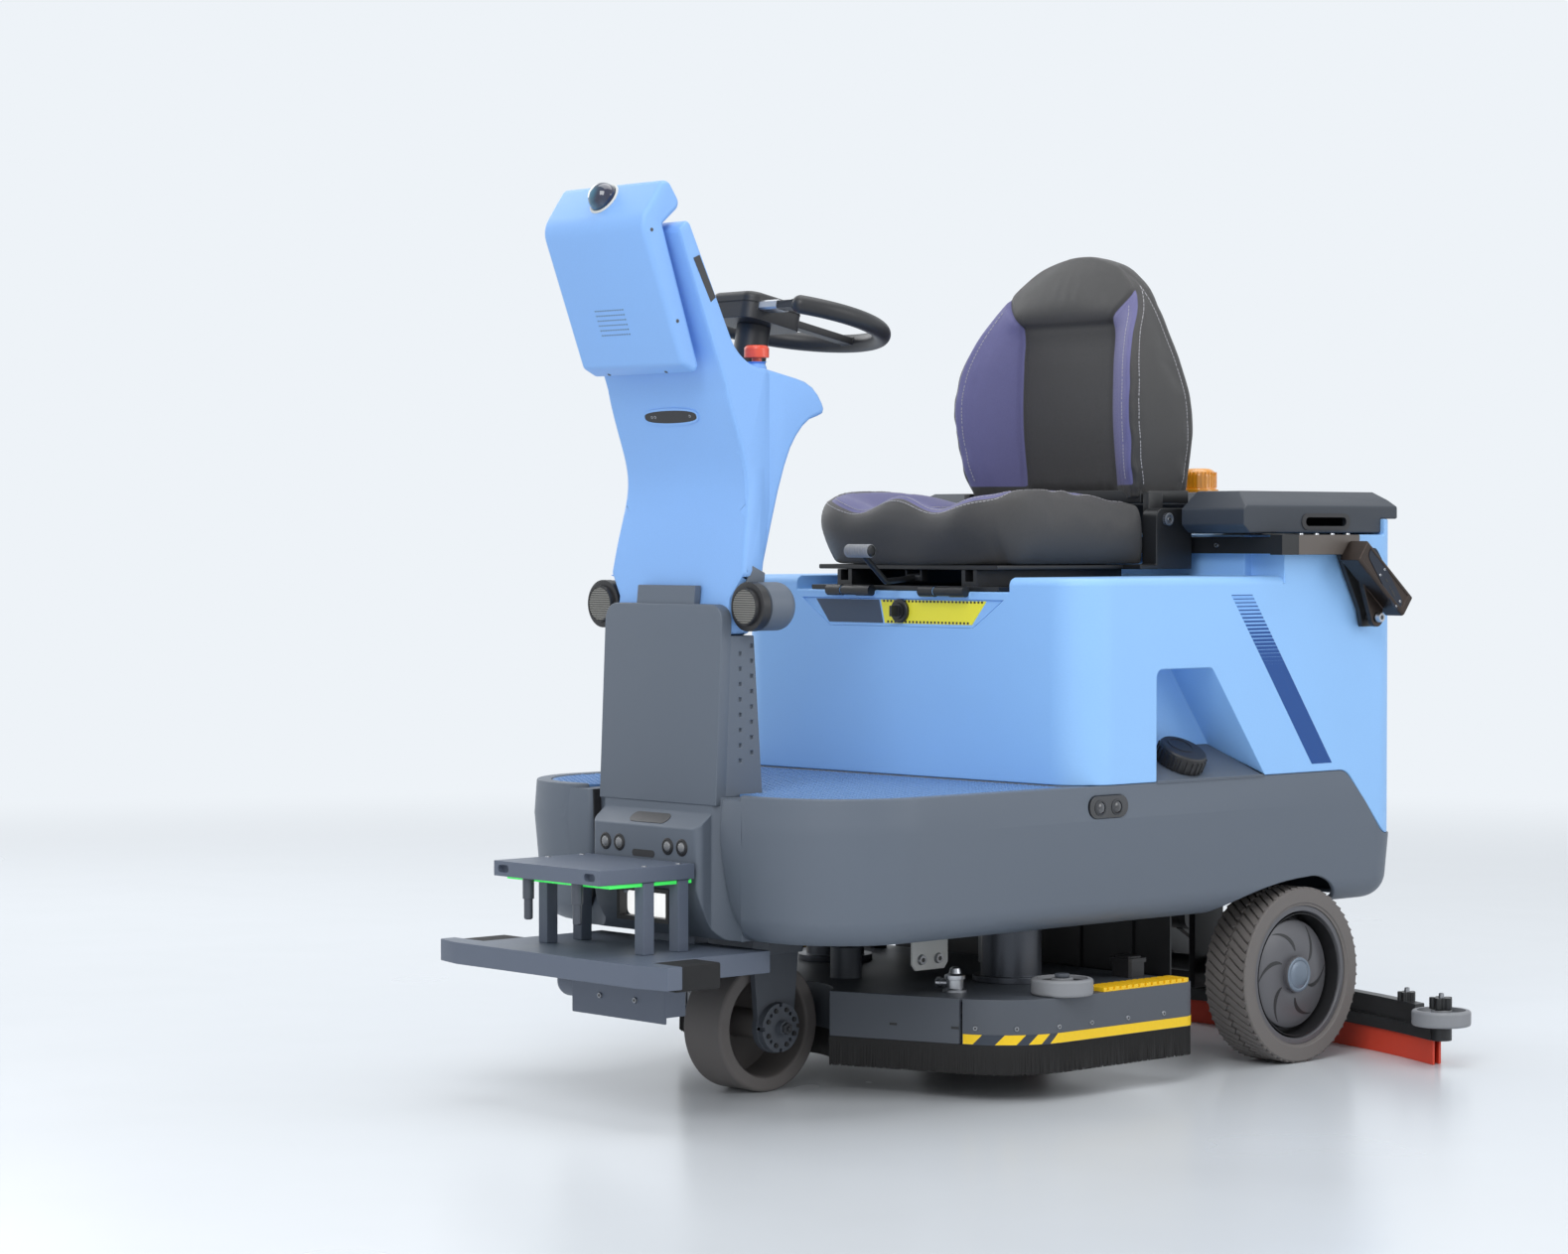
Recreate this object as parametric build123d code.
from build123d import *
from math import atan2, cos, degrees, hypot, radians, sin, sqrt, tan
import os

# Ride-on robotic floor scrubber, in millimetres.
# +X is the machine's left side, -Y its front, +Z up. The origin lies on the floor, under the middle.

# Clearances
panel_gap = 0.3
running_fit = 0.06
press_gap = 0.1
wall = 7.0

# Rear wheels
rear_wheel_radius = 150.0
rear_tyre_width = 90.0
rear_tyre_depth = 32.0
rear_wheel_inset = 56.0
rear_axle_y = 492.0
axle_radius = 15.0
rim_lip = 13.0
rim_inset = 5.0
rim_groove = 8.0
rim_dish_back = 18.0
rim_dish_rise = 24.0
rim_web = 12.0
tyre_shoulder = 9.0
hub_cap_wall = 6.0
hub_cap_inset = 2.0
hub_wall = 5.0
hub_cap_radius = 31.0

# Front wheel and fork
front_wheel_radius = 107.0
front_wheel_width = 90.0
front_tread_depth = 25.0
front_web = 10.0
front_edge = 6.0
front_axle_radius = 12.0
fork_y = -403.0
fork_side_gap = 5.0
fork_leg = 12.0
fork_crown_gap = 14.0
fork_crown = 34.0
fork_crown_half_width = 85.0
fork_crown_half_length = 55.0
stem_radius = 25.0
stem_length = 208.0
head_tube_wall = 15.0
hub_flange_radius = 42.0
hub_flange = 12.0
drive_motor_length = 53.0
drive_motor_grooves = 4
drive_motor_rib = 5.0
flange_notches = 4

# Lower hull
hull_half_width = 420.0
hull_front_y = -613.0
hull_rear_y = 777.0
hull_bottom_z = 267.0
crease_z = 440.0
hull_top_z = 496.0
lower_draft = 5.0
upper_draft = 4.0
hull_front_corner = 190.0
hull_rear_corner = 90.0
hull_bottom_round = 45.0
hull_rim = 60.0
seam_drop_y = 598.0
seam_low_y = 702.0
seam_low_z = 381.0
footwell_drop = 6.0
floor_plate = 12.0
mat_thickness = 4.0
mat_inset = 2.0
mat_gap = 4.0
mat_pedal_side = 12.0
mat_pedal_rear = 16.0
arch_front_y = 249.0
arch_rear_y = 603.0
arch_clearance = 17.0
arch_drop = 12.0
arch_crown = 17.0
floor_rim = 28.0
eye_front_y = -50.0
eye_rear_y = 41.0
eye_z = 462.0
eye_height = 36.0
eye_depth = 4.0

# Fascia
fascia_half_width = 130.0
notch_half_width = 186.0
notch_round = 40.0
fascia_front_y = -630.0
fascia_back_y = -560.0
ledge_low_z = 441.0
ledge_high_z = 464.0
ledge_back_y = -601.0
fascia_face_low_z = 360.0
lamp_half_width = 56.0
lamp_height = 40.0
lamp_z = 296.0
eye_radius = 10.0
fascia_eye_x = 59.0
fascia_eye_pitch = 34.0
fascia_eye_z = 411.0
fascia_slot_half = 20.0
fascia_slot_z = 375.0
fascia_slot_height = 11.0
fascia_slot_depth = 8.0
fascia_tuck = 42.0
fascia_tuck_bulge = 12.0
fascia_corner = 14.0
flank_reach = 26.0
lamp_depth = 24.0
lamp_setback = 14.0
lamp_corner = 10.0
eye_recess = 3.0
eye_stand = 1.5

# Docking front
platform_half_width = 130.0
platform_front_y = -828.0
platform_back_y = -635.0
platform_z = 365.0
platform_thickness = 24.0
post_size = 22.0
post_x = 118.0
post_front_y = -728.0
post_back_y = -658.0
pin_radius = 7.0
pin_x = 60.0
pin_length = 65.0
bumper_front_y = -833.0
bumper_back_y = -545.0
bumper_z = 218.0
bumper_thickness = 35.0
bumper_half_width = 205.0
bumper_wing_x = 280.0
bumper_wing_back_y = -790.0
bumper_wing_flare = 17.0
bumper_wing_chamfer = 14.0
bent_box_half_width = 114.0
bent_box_front_y = -683.0
bent_box_depth = 43.0
bent_box_low_z = 150.0
bent_box_wall = 4.0
bent_box_lip = 10.0
horn_radius = 26.0
horn_round = 14.0
horn_end_x = -200.0
horn_y = -625.0
horn_rise = 30.0
horn_bracket_x = -153.0
horn_bracket = 15.0
mast_depth = 30.0
stop_drop = 6.0
stop_width = 60.0
stop_length = 90.0
stop_height = 40.0
strip_drop = 6.0
lens_hole_x = 106.0
lens_hole_length = 26.0
lens_hole_height = 11.0
lens_hole_depth = 10.0
pin_inset = 14.0
pin_collar = 2.0
strip_inset = 4.0
strip_front = 24.0
strip_width_lit = 6.0
mast_half_width = 60.0

# Column
panel_half_width = 142.0
panel_top_z = 742.0
panel_front_low_y = -601.0
panel_front_high_y = -590.0
panel_back_y = -505.0
panel_front_round = 22.0
vent_rows = 8
vent_columns = 2
vent_pitch = 24.0
vent_size = 6.0
vent_depth = 4.0
vent_back = 46.0
vent_rise = 56.0
tab_half_width = 70.0
tab_top_z = 820.0
tab_thickness = 13.0
tab_lean = 8.0
tab_foot = 2.0
pod_x = 176.0
pod_z = 788.0
pod_radius = 38.0
pod_front_y = -574.0
pod_back_y = -490.0
pod_barrel_radius = 28.5
pod_lens_radius = 26.5
pod_barrel = 18.0
pod_lens = 8.0
pod_stub_drop = 12.0
column_half_width = 162.0
column_waist_half_width = 148.0
column_top_half_width = 142.0
column_neck_half_width = 136.0
column_waist_z = 985.0
column_edge = 12.0
column_front_line = [(-564.0, 830.0), (-553.0, 898.0), (-541.0, 985.0), (-560.0, 1055.0)]
column_back_line = [(-441.0, 1037.0), (-475.0, 960.0), (-506.0, 843.0)]
column_tip_y = -655.0
console_step_y = -567.0
console_step_z = 1203.0
console_step_round = (-543.0, 1177.0)
console_front_y = -491.0
console_rear_y = -412.0
console_nose = (-379.0, 1116.0)
console_heel_y = -404.0
console_heel_z = 1083.0
panel_back_lean = 18.0
console_taper_y = -545.0
console_nose_half_width = 96.0
console_nose_y = -374.0
console_nose_round = 70.0
console_side_round = 160.0
plate_low_y = -585.0
plate_low_z = 1133.0
plate_high_y = -677.0
plate_top_drop = 78.0
plate_tip_rise = 16.0
head_low_z = 1163.0
head_half_width = 110.0
head_front_low_y = -658.0
head_front_high_y = -738.0
head_top_front_y = -690.0
head_top_front_z = 1450.0
head_top_fall = 20.0
head_brow = 69.0
head_top_rear_y = -645.0
head_front_round = 40.0
head_top_round = 20.0
head_side_round = 16.0
head_neck = 14.0
head_neck_half_width = 92.0
dome_radius = 24.0
dome_reach = 21.0
dome_sink = 25.0

# Steering
steering_tilt = 11.0
steering_y = -391.0
steering_tube_radius = 27.5
hub_centre_z = 1259.0
hub_height = 45.0
rim_radius = 165.0
rim_tube = 15.0
rim_offset = 57.0
rim_open_angle = 32.0
hub_width = 110.0
hub_length = 120.0
spoke_width = 26.0
spoke_height = 12.0
hub_corner = 24.0
hub_top_round = 10.0
tube_collar = 7.0
console_front_z = 1161.0
console_rear_z = 1145.0
estop_radius = 20.0
estop_stem = 8.0
estop_seat = 4.0
estop_bore = 20.0
estop_x = 60.0
estop_y = -443.0
estop_z = 1176.0
estop_travel = 6.0
pedal_width = 80.0
pedal_length = 100.0
pedal_thickness = 10.0
pedal_rise = 38.0
pedal_heel_y = -392.0
pedal_x = -70.0
pedal_pivot_height = 18.0
pedal_ear = 8.0
pedal_ribs = 5
pedal_rib_inset = 6.0
pedal_rib_width = 5.0
pedal_rib_height = 3.0

# Body shell
body_front_y = -66.0
body_step = 2.0
body_rear_y = 747.0
body_front_corner = 75.0
body_rear_corner = 60.0
shoulder_z = 830.0
shoulder_round = 14.0
tray_z = 806.0
tray_half_width = 255.0
tray_rear_y = 400.0
tank_front_y = 432.0
tank_top_z = 900.0
tank_strip_z = 927.0
tank_strip_y = 700.0
tank_inset_half_width = 345.0
tank_inset_y = 414.0
mouth_half_width = 305.0
mouth_front_y = 455.0
filler_depth = 96.0
filler_floor_rise = 51.0
filler_front_y = 113.0
filler_rear_low_y = 384.0
filler_rear_high_y = 249.0
filler_top_z = 680.0
filler_corner = 14.0
label_half_width_top = 240.0
label_half_width_low = 172.0
label_top_z = 792.0
label_low_z = 746.0
label_depth = 3.0
key_z = 772.0
key_radius = 13.0
key_stand = 6.0
key_grip = 16.0
key_grip_half = 9.0
key_grip_thickness = 6.0
key_depth = 15.0
cap_radius = 43.0
cap_height = 30.0
filler_neck_radius = 34.0
cap_skirt = 2.0
cap_round = 4.0
cap_rib = 5.0
cap_rib_short = 8.0
cap_inset = 46.0
ramp_edge = 3.0
cap_ribs = 24
cap_y = 215.0

# Seat
seat_hinge_z = 806.0
seat_hinge_reach = 9.0
knuckle_radius = 8.0
hinge_pin_radius = 4.0
knuckle_length = 35.0
seat_hinge_x = 112.0
plate_half_width = 225.0
plate_rear_y = 300.0
seat_plate_thickness = 8.0
rail_x = 150.0
rail_width = 36.0
rail_height = 27.0
rail_floor = 8.0
runner_front = 70.0
runner_rear = 10.0
pan_thickness = 8.0
pan_half_width = 215.0
pan_rear_y = 290.0
cushion_half_width = 235.0
cushion_front_y = -100.0
cushion_rear_y = 296.0
cushion_height = 106.0
cushion_corner = 110.0
cushion_top_round = 28.0
cushion_low_round = 12.0
recliner_x = 222.0
recliner_width = 33.0
recliner_front_y = 292.0
recliner_rear_y = 382.0
recliner_top_z = 945.0
recliner_round = 16.0
recliner_arm_front = 40.0
recliner_arm_overlap = 30.0
back_pivot_y = 327.0
back_pivot_z = 915.0
back_pin_radius = 8.0
back_arm = 14.0
back_bottom_z = 975.0
back_top_z = 1367.0
back_half_width = 217.0
back_top_half_width = 126.0
back_low_half_width = 202.0
back_shoulder_z = 1130.0
back_front_y = 274.0
back_front_low_y = 300.0
back_top_front_y = 361.0
back_top_rear_y = 392.0
back_rear_mid_y = 432.0
back_rear_y = 457.0
back_panel_half_width = 110.0
back_panel_top_z = 1265.0
back_mid_z = 1248.0
back_mid_half_width = 187.0
back_crown_z = 1340.0
back_crown_half_width = 150.0
back_rear_mid_z = 1200.0
back_rear_low_z = 1005.0
back_heel = 14.0
back_top_round = 18.0
back_panel_depth = 50.0
back_panel_bulge = 12.0
back_eye = 18.0
back_arm_overlap = 60.0
rail_front_y = -52.0
lever_pivot_y = -36.0
lever_rod = 5.0
lever_x = 10.0
lever_half = 16.0
lever_grip_half = 30.0
lever_grip_y = -168.0
lever_grip_z = 873.0
ear_thickness = 4.0
ear_half = 8.0
ear_drop = 6.0
lever_knee = 8.0

# Tank lid
lid_ear_x = 270.0
lid_inset = 8.0
lid_ear_front_y = 337.0
lid_front_y = 480.0
lid_top_z = 974.0
lid_rear_y = 745.0
lid_hinge_x = 210.0
lid_slot_rear_y = 609.0
lid_sill = 3.0
lid_strip_gap = 1.0
lid_front_chamfer = 26.0
lid_front_drop = 20.0
lid_rear_chamfer = 12.0
lid_rear_drop = 14.0
lid_ear_overlap = 30.0
lid_ear_slope = 40.0
lid_ear_drop = 30.0
lid_ear_foot = 16.0
lid_ear_rise = 13.0
lid_side_slope = 46.0
lid_side_drop = 26.0
lid_roof = 32.0
lid_slot_low = 10.0
lid_slot_high = 28.0
lid_arm_overlap = 4.0
beacon_radius = 32.0
beacon_height = 46.0
beacon_base = 8.0
beacon_flange = 4.0
beacon_y = 689.0

# Camera bar
bar_depth = 20.0
bar_z = 868.0
bar_height = 28.0
channel_width = 27.0
channel_rear_y = 598.0
camera_pivot_y = 634.0
camera_pivot_z = 758.0
camera_length = 155.0
camera_thickness = 42.0
camera_width = 42.0
camera_slope = 38.5
camera_y = 617.0
camera_z = 825.0
camera_pin = 6.0
camera_lug = 10.0
channel_drop = 2.0
channel_rise = 4.0
camera_arm = 10.0
camera_arm_inset = 6.0
camera_arm_width = 40.0
camera_foot_half = 22.0
camera_foot_rise = 14.0
camera_tip_half = 14.0
camera_tip_drop = 16.0
camera_round = 5.0
camera_face_depth = 2.0
camera_face_ends = 24.0
camera_face_edges = 14.0
camera_eye = 16.0
camera_lug_half = 26.0

# Brush deck
deck_z = 92.0
deck_height = 73.0
deck_overhang = 10.0
deck_wall = 6.0
deck_lift_down = 45.0
skirt_bottom_z = 47.0
skirt_thickness = 12.0
brush_x = 212.0
brush_y = -15.0
brush_radius = 190.0
brush_height = 80.0
brush_motor_radius = 50.0
brush_motor_top_z = 258.0
deck_roller_y = -97.0
deck_roller_inset = 25.0
roller_radius = 50.0
roller_height = 27.0
roller_pin = 6.0
guide_radius = 14.0
guide_front_y = -190.0
guide_rear_y = 160.0
guide_boss = 26.0
strip_front_y = -24.0
strip_rear_y = 183.0
strip_width = 46.0
strip_height = 7.0
shaft_radius = 12.0
shaft_clearance = 2.0
motor_collar = 14.0
motor_collar_height = 10.0
motor_chamfer = 6.0
brush_plate = 9.0
brush_plate_inset = 8.0
brush_top_gap = 4.0
brush_rise = 2.0
brush_hub_z = 132.0
deck_wheel_gap = 11.0
deck_nose_x = 115.0
deck_shoulder_x = 331.0
deck_shoulder_y = -253.0
deck_side_front_y = -120.0
deck_rear_y = 205.0
deck_corner = 35.0
deck_slot = 5.0
roller_round = 5.0
roller_wall = 9.0
roller_well = 8.0
roller_head = 6.0
strip_inset_deck = 2.0
strip_base = 2.0

# Squeegee
squeegee_end_x = 577.0
squeegee_end_y = 637.0
squeegee_mid_y = 762.0
blade_spread = 40.0
blade_spread_ends = 17.0
blade_thickness = 5.0
blade_floor_gap = 0.3
squeegee_frame_z = 42.0
squeegee_frame_top_z = 96.0
squeegee_roller_x = 585.0
squeegee_roller_y = 647.0
squeegee_roller_z = 67.0
arm_pivot_y = 590.0
arm_pivot_z = 215.0
arm_pin_radius = 10.0
arm_half_width = 60.0
arm_plate = 14.0
caster_radius = 18.0
caster_width = 14.0
caster_x = 500.0
caster_floor_gap = 28.0
roller_lift = 4.0
knob_radius = 20.0
carrier_lip = 8.0
latch_half_width = 40.0
knob_stem = 10.0
caster_gap = 14.0
caster_cheek = 4.0
caster_foot = 6.0
caster_plate = 14.0
caster_round = 3.0
arm_foot = 34.0
squeegee_rear_y = 833.0

# Frame and inner pieces
rail_centre_x = 180.0
frame_rail_width = 40.0
frame_rail_height = 50.0
frame_rail_z = 290.0
frame_front_y = -500.0
frame_rear_y = 640.0
battery_half_width = 220.0
battery_front_y = -33.0
battery_rear_y = 347.0
battery_height = 360.0
battery_corner = 12.0
battery_groove = 4.0
battery_grip_drop = 50.0
battery_grip_depth = 40.0
battery_grip_height = 30.0
vacuum_radius = 50.0
vacuum_height = 120.0
vacuum_y = 402.0
vacuum_base = 8.0
vacuum_base_depth = 60.0
base_overlap = 20.0
control_half_width = 160.0
control_front_y = -283.0
control_rear_y = -133.0
control_height = 90.0
control_fins = 6
control_fin_height = 18.0
tank_bottom_z = 520.0
tank_wall = 5.0
tank_flange = 18.0
tank_flange_front = 12.0
tank_flange_height = 2.0

# Places that follow from the sizes above
rear_axle_z = rear_wheel_radius
body_half_width = hull_half_width - body_step
rear_wheel_x = hull_half_width - rear_wheel_inset
lid_half_width = body_half_width - lid_inset
cap_x = body_half_width - cap_inset
deck_half_width = hull_half_width + deck_overhang
deck_roller_x = deck_half_width - deck_roller_inset
head_top_rear_z = head_top_front_z - head_top_fall
head_front_high_z = head_top_front_z - head_brow
plate_high_z = head_top_front_z - plate_top_drop
column_top_z = plate_high_z + plate_tip_rise
dome_y = head_top_front_y - dome_reach
dome_z = head_top_front_z - dome_sink
front_axle_z = front_wheel_radius
rim_radius_outer = rear_wheel_radius - rear_tyre_depth
fork_leg_x = front_wheel_width / 2 + fork_side_gap
fork_crown_z = 2 * front_wheel_radius + fork_crown_gap
fork_top_z = fork_crown_z + fork_crown
floor_z = hull_top_z - footwell_drop
rail_top_z = frame_rail_z + frame_rail_height
deck_top_z = deck_z + deck_height
plate_top_z = tray_z + panel_gap + seat_plate_thickness
pan_z = plate_top_z + rail_height + panel_gap
cushion_z = pan_z + pan_thickness + panel_gap
seat_hinge_y = body_front_y - seat_hinge_reach
lid_z = tank_strip_z + panel_gap
lid_hinge_y = body_rear_y + knuckle_radius + 1
lid_hinge_z = tank_strip_z
channel_x = body_half_width
camera_x = channel_x + channel_width + panel_gap
strip_z = platform_z - strip_drop
bar_y = tank_inset_y - bar_depth
mast_top_z = hull_bottom_z
pedal_pivot_z = floor_z + pedal_pivot_height
lever_pivot_z = plate_top_z + rail_height / 2


def block(x0, x1, y0, y1, z0, z1):
    """Box between two opposite corners."""
    return Pos((x0 + x1) / 2, (y0 + y1) / 2, (z0 + z1) / 2) * Box(x1 - x0, y1 - y0, z1 - z0)


def rod_x(radius, x0, x1, y, z):
    """Round rod along X."""
    return Pos((x0 + x1) / 2, y, z) * Rot(0, 90, 0) * Cylinder(radius, x1 - x0)


def rod_y(radius, y0, y1, x, z):
    """Round rod along Y."""
    return Pos(x, (y0 + y1) / 2, z) * Rot(90, 0, 0) * Cylinder(radius, y1 - y0)


def rod_z(radius, z0, z1, x, y):
    """Round rod along Z."""
    return Pos(x, y, (z0 + z1) / 2) * Cylinder(radius, z1 - z0)


def across(face, x0, x1):
    """Prism across the machine from a face drawn in (y, z)."""
    return extrude(Plane.YZ.offset(x0) * face, x1 - x0, dir=(1, 0, 0))


def upright(face, z0, z1):
    """Upright prism from a face drawn in (x, y)."""
    return extrude(Plane.XY.offset(z0) * face, z1 - z0, dir=(0, 0, 1))


def along(face, y0, y1):
    """Prism along the machine from a face drawn in (x, z)."""
    return extrude(Plane.XZ.offset(-y0) * face, y1 - y0, dir=(0, 1, 0))


def side_prism(points, x0, x1):
    """Prism across the machine whose outline is a list of (y, z) points."""
    return across(Polygon(*points, align=None), x0, x1)


def plan_prism(points, z0, z1):
    """Upright prism whose outline is a list of (x, y) points."""
    return upright(Polygon(*points, align=None), z0, z1)


def front_prism(points, y0, y1):
    """Prism along the machine whose outline is a list of (x, z) points."""
    return along(Polygon(*points, align=None), y0, y1)


def right_of(part):
    """The same piece on the machine's other side."""
    return mirror(part, Plane.YZ)


def both_sides(part):
    """A piece together with its mirror image."""
    return part + right_of(part)


def on_rear_axle(part, side):
    """Turn a piece made around Z, outer face up, onto one of the rear wheels' axles."""
    return Pos(side * rear_wheel_x, rear_axle_y, rear_axle_z) * Rot(0, side * 90, 0) * part


def rear_tyre(side):
    """Solid rubber tyre with rounded shoulders."""
    band = Cylinder(rear_wheel_radius, rear_tyre_width)
    band = fillet(band.edges().filter_by(GeomType.CIRCLE), tyre_shoulder)
    band -= Cylinder(rim_radius_outer + press_gap, rear_tyre_width)
    return on_rear_axle(band, side)


def rear_rim(side):
    """Rim with a conical dish, a deep groove round the dish and a closed hub cap."""
    face = rear_tyre_width / 2 - rim_inset
    inner = rim_radius_outer - rim_lip
    bore = axle_radius + running_fit
    hub = hub_cap_radius - hub_wall
    dish = inner - rim_groove
    hub_back = rim_dish_rise - rim_dish_back
    cap_top = face - hub_cap_inset
    cap_low = cap_top - hub_cap_wall
    profile = [
        (bore, -face),
        (hub, -face),
        (hub, hub_back),
        (inner, -rim_dish_back),
        (inner, -face),
        (rim_radius_outer, -face),
        (rim_radius_outer, face),
        (inner + rim_lip / 3, face),
        (inner, face - rim_lip),
        (inner, rim_groove - rim_dish_back),
        (dish, rim_groove - rim_dish_back),
        (dish, rim_groove + rim_web - rim_dish_back),
        (hub_cap_radius, hub_back + rim_groove + rim_web),
        (hub_cap_radius, cap_top),
        (0, cap_top),
        (0, cap_low),
        (bore, cap_low),
    ]
    rim = revolve(Plane.XZ * Polygon(*profile, align=None), Axis.Z)
    return on_rear_axle(rim, side)


def front_wheel():
    """Deep open wheel with its web on the far side and a hub tube on the axle."""
    half = front_wheel_width / 2
    inner = front_wheel_radius - front_tread_depth
    bore = front_axle_radius + running_fit
    hub = 2 * front_axle_radius
    profile = [
        (bore, -half),
        (front_wheel_radius, -half),
        (front_wheel_radius, half),
        (inner + front_edge / 2, half),
        (inner, half - front_edge),
        (inner, front_web - half),
        (hub, front_web - half),
        (hub, half),
        (bore, half),
    ]
    wheel = revolve(Plane.XZ * Polygon(*profile, align=None), Axis.Z)
    tread = wheel.edges().filter_by(GeomType.CIRCLE).sort_by(SortBy.RADIUS)[-2:]
    wheel = fillet(tread, front_edge)
    return Pos(0, fork_y, front_axle_z) * Rot(0, 90, 0) * wheel


def steer_fork():
    """Crown, two tapered legs, axle, notched hub flange and the stem in the head tube."""
    outer = fork_leg_x + fork_leg
    waist = hub_flange_radius - 4
    leg_top = fork_crown_half_length - 6
    leg = side_prism(
        [
            (fork_y - leg_top, fork_crown_z),
            (fork_y - waist, front_axle_z),
            (fork_y + waist, front_axle_z),
            (fork_y + leg_top, fork_crown_z),
        ],
        fork_leg_x,
        outer,
    )
    leg += rod_x(hub_flange_radius, fork_leg_x, outer, fork_y, front_axle_z)
    crown = Pos(0, fork_y, fork_crown_z + fork_crown / 2) * Box(
        2 * fork_crown_half_width, 2 * fork_crown_half_length, fork_crown
    )
    crown = chamfer(crown.edges().filter_by(Axis.Z), fork_crown_half_length / 3)
    fork = both_sides(leg) + crown
    fork += rod_x(front_axle_radius, -outer, outer, fork_y, front_axle_z)
    fork += rod_z(stem_radius, fork_top_z, fork_top_z + stem_length, 0, fork_y)
    flange = Cylinder(hub_flange_radius - 2, hub_flange)
    for place in PolarLocations(hub_flange_radius - 2, flange_notches):
        flange -= place * Box(hub_flange, hub_flange / 2, hub_flange)
    for place in PolarLocations(hub_flange_radius * 0.7, flange_notches, start_angle=45):
        flange -= place * Cylinder(hub_flange / 4, hub_flange)
    flange += Pos(0, 0, hub_flange) * Cylinder(front_axle_radius, hub_flange)
    return fork + Pos(outer + hub_flange / 2, fork_y, front_axle_z) * Rot(0, 90, 0) * flange


def drive_motor():
    """Wheel drive on the far leg, with cooling ribs."""
    start = -fork_leg_x - fork_leg
    rib = drive_motor_rib
    motor = rod_x(hub_flange_radius, start - drive_motor_length, start, fork_y, front_axle_z)
    for index in range(drive_motor_grooves):
        x = start - drive_motor_length + (2 * index + 2) * rib
        groove = rod_x(hub_flange_radius + 1, x, x + rib, fork_y, front_axle_z)
        motor -= groove - rod_x(hub_flange_radius - rib, x, x + rib, fork_y, front_axle_z)
    return motor


def chassis_frame():
    """Two rails with cross members, head tube, rear axle, deck guides and the squeegee lugs."""
    inner = rail_centre_x - frame_rail_width / 2
    outer = rail_centre_x + frame_rail_width / 2
    rail = block(inner, outer, frame_front_y, frame_rear_y, frame_rail_z, rail_top_z)
    frame = both_sides(rail)
    cross_half = frame_rail_width / 2
    for y in (fork_y, guide_front_y, guide_rear_y, arm_pivot_y):
        frame += block(-inner, inner, y - cross_half, y + cross_half, frame_rail_z, rail_top_z)
    tube = stem_radius + running_fit + head_tube_wall
    frame += rod_z(tube, fork_top_z + panel_gap, floor_z - floor_plate, 0, fork_y)
    rim_top = hull_bottom_z + wall
    reach = hull_half_width - (crease_z - hull_bottom_z) * tan(radians(lower_draft)) - hull_bottom_round - 4
    for y in (guide_front_y, guide_rear_y):
        foot = block(inner, reach, y - cross_half, y + cross_half, rim_top, rail_top_z)
        frame += both_sides(foot)
    plate_half = 2.5 * axle_radius
    plate = block(
        outer - frame_rail_width / 3,
        outer,
        rear_axle_y - plate_half,
        rear_axle_y + plate_half,
        rear_axle_z - plate_half,
        rail_top_z,
    )
    frame += both_sides(plate)
    axle_end = rear_wheel_x + rear_tyre_width / 2 - rim_inset - hub_cap_inset - hub_cap_wall - panel_gap
    frame += rod_x(axle_radius, -axle_end, axle_end, rear_axle_y, rear_axle_z)
    guide_low = deck_top_z - deck_lift_down
    for y in (guide_front_y, guide_rear_y):
        frame += rod_z(guide_radius, guide_low, rail_top_z, 0, y)
    lug_in = arm_half_width + panel_gap
    lug_round = 2 * arm_pin_radius
    lug = block(
        lug_in, lug_in + arm_plate, arm_pivot_y - lug_round, arm_pivot_y + lug_round, arm_pivot_z, rail_top_z
    )
    lug += rod_x(lug_round, lug_in, lug_in + arm_plate, arm_pivot_y, arm_pivot_z)
    frame += both_sides(lug)
    pin_end = lug_in + arm_plate
    frame += rod_x(arm_pin_radius, -pin_end, pin_end, arm_pivot_y, arm_pivot_z)
    frame -= rod_z(stem_radius + running_fit, fork_crown_z, floor_z - floor_plate, 0, fork_y)
    return frame


def battery_pack():
    """Battery case on the rails, with a lipped cover and carrying recesses."""
    case = block(
        -battery_half_width,
        battery_half_width,
        battery_front_y,
        battery_rear_y,
        rail_top_z,
        rail_top_z + battery_height,
    )
    case = fillet(case.edges().filter_by(Axis.Z), battery_corner)
    seam_z = rail_top_z + 0.85 * battery_height
    groove = battery_groove
    middle = (battery_front_y + battery_rear_y) / 2
    length = battery_rear_y - battery_front_y
    ring = Pos(0, middle, seam_z) * Box(3 * battery_half_width, 2 * length, groove)
    core = Pos(0, middle, seam_z) * Box(2 * (battery_half_width - groove), length - 2 * groove, groove)
    grip = Pos(battery_half_width, middle, seam_z - battery_grip_drop) * Box(
        battery_grip_depth, length / 3, battery_grip_height
    )
    return case - (ring - core) - both_sides(grip)


def vacuum_motor():
    """Suction turbine on the rear cross member, with its outlet neck."""
    low = rail_top_z
    rail_inner = rail_centre_x - frame_rail_width / 2
    base = Pos(0, vacuum_y, low + vacuum_base / 2) * Box(
        2 * (rail_inner + base_overlap), vacuum_base_depth, vacuum_base
    )
    motor = rod_z(vacuum_radius, low + vacuum_base, low + vacuum_height, 0, vacuum_y)
    motor = fillet(motor.edges().group_by(Axis.Z)[-1], vacuum_radius / 4)
    neck = rod_x(vacuum_radius / 3, 0, 2 * vacuum_radius, vacuum_y, low + vacuum_height / 2)
    return base + motor + neck


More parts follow.
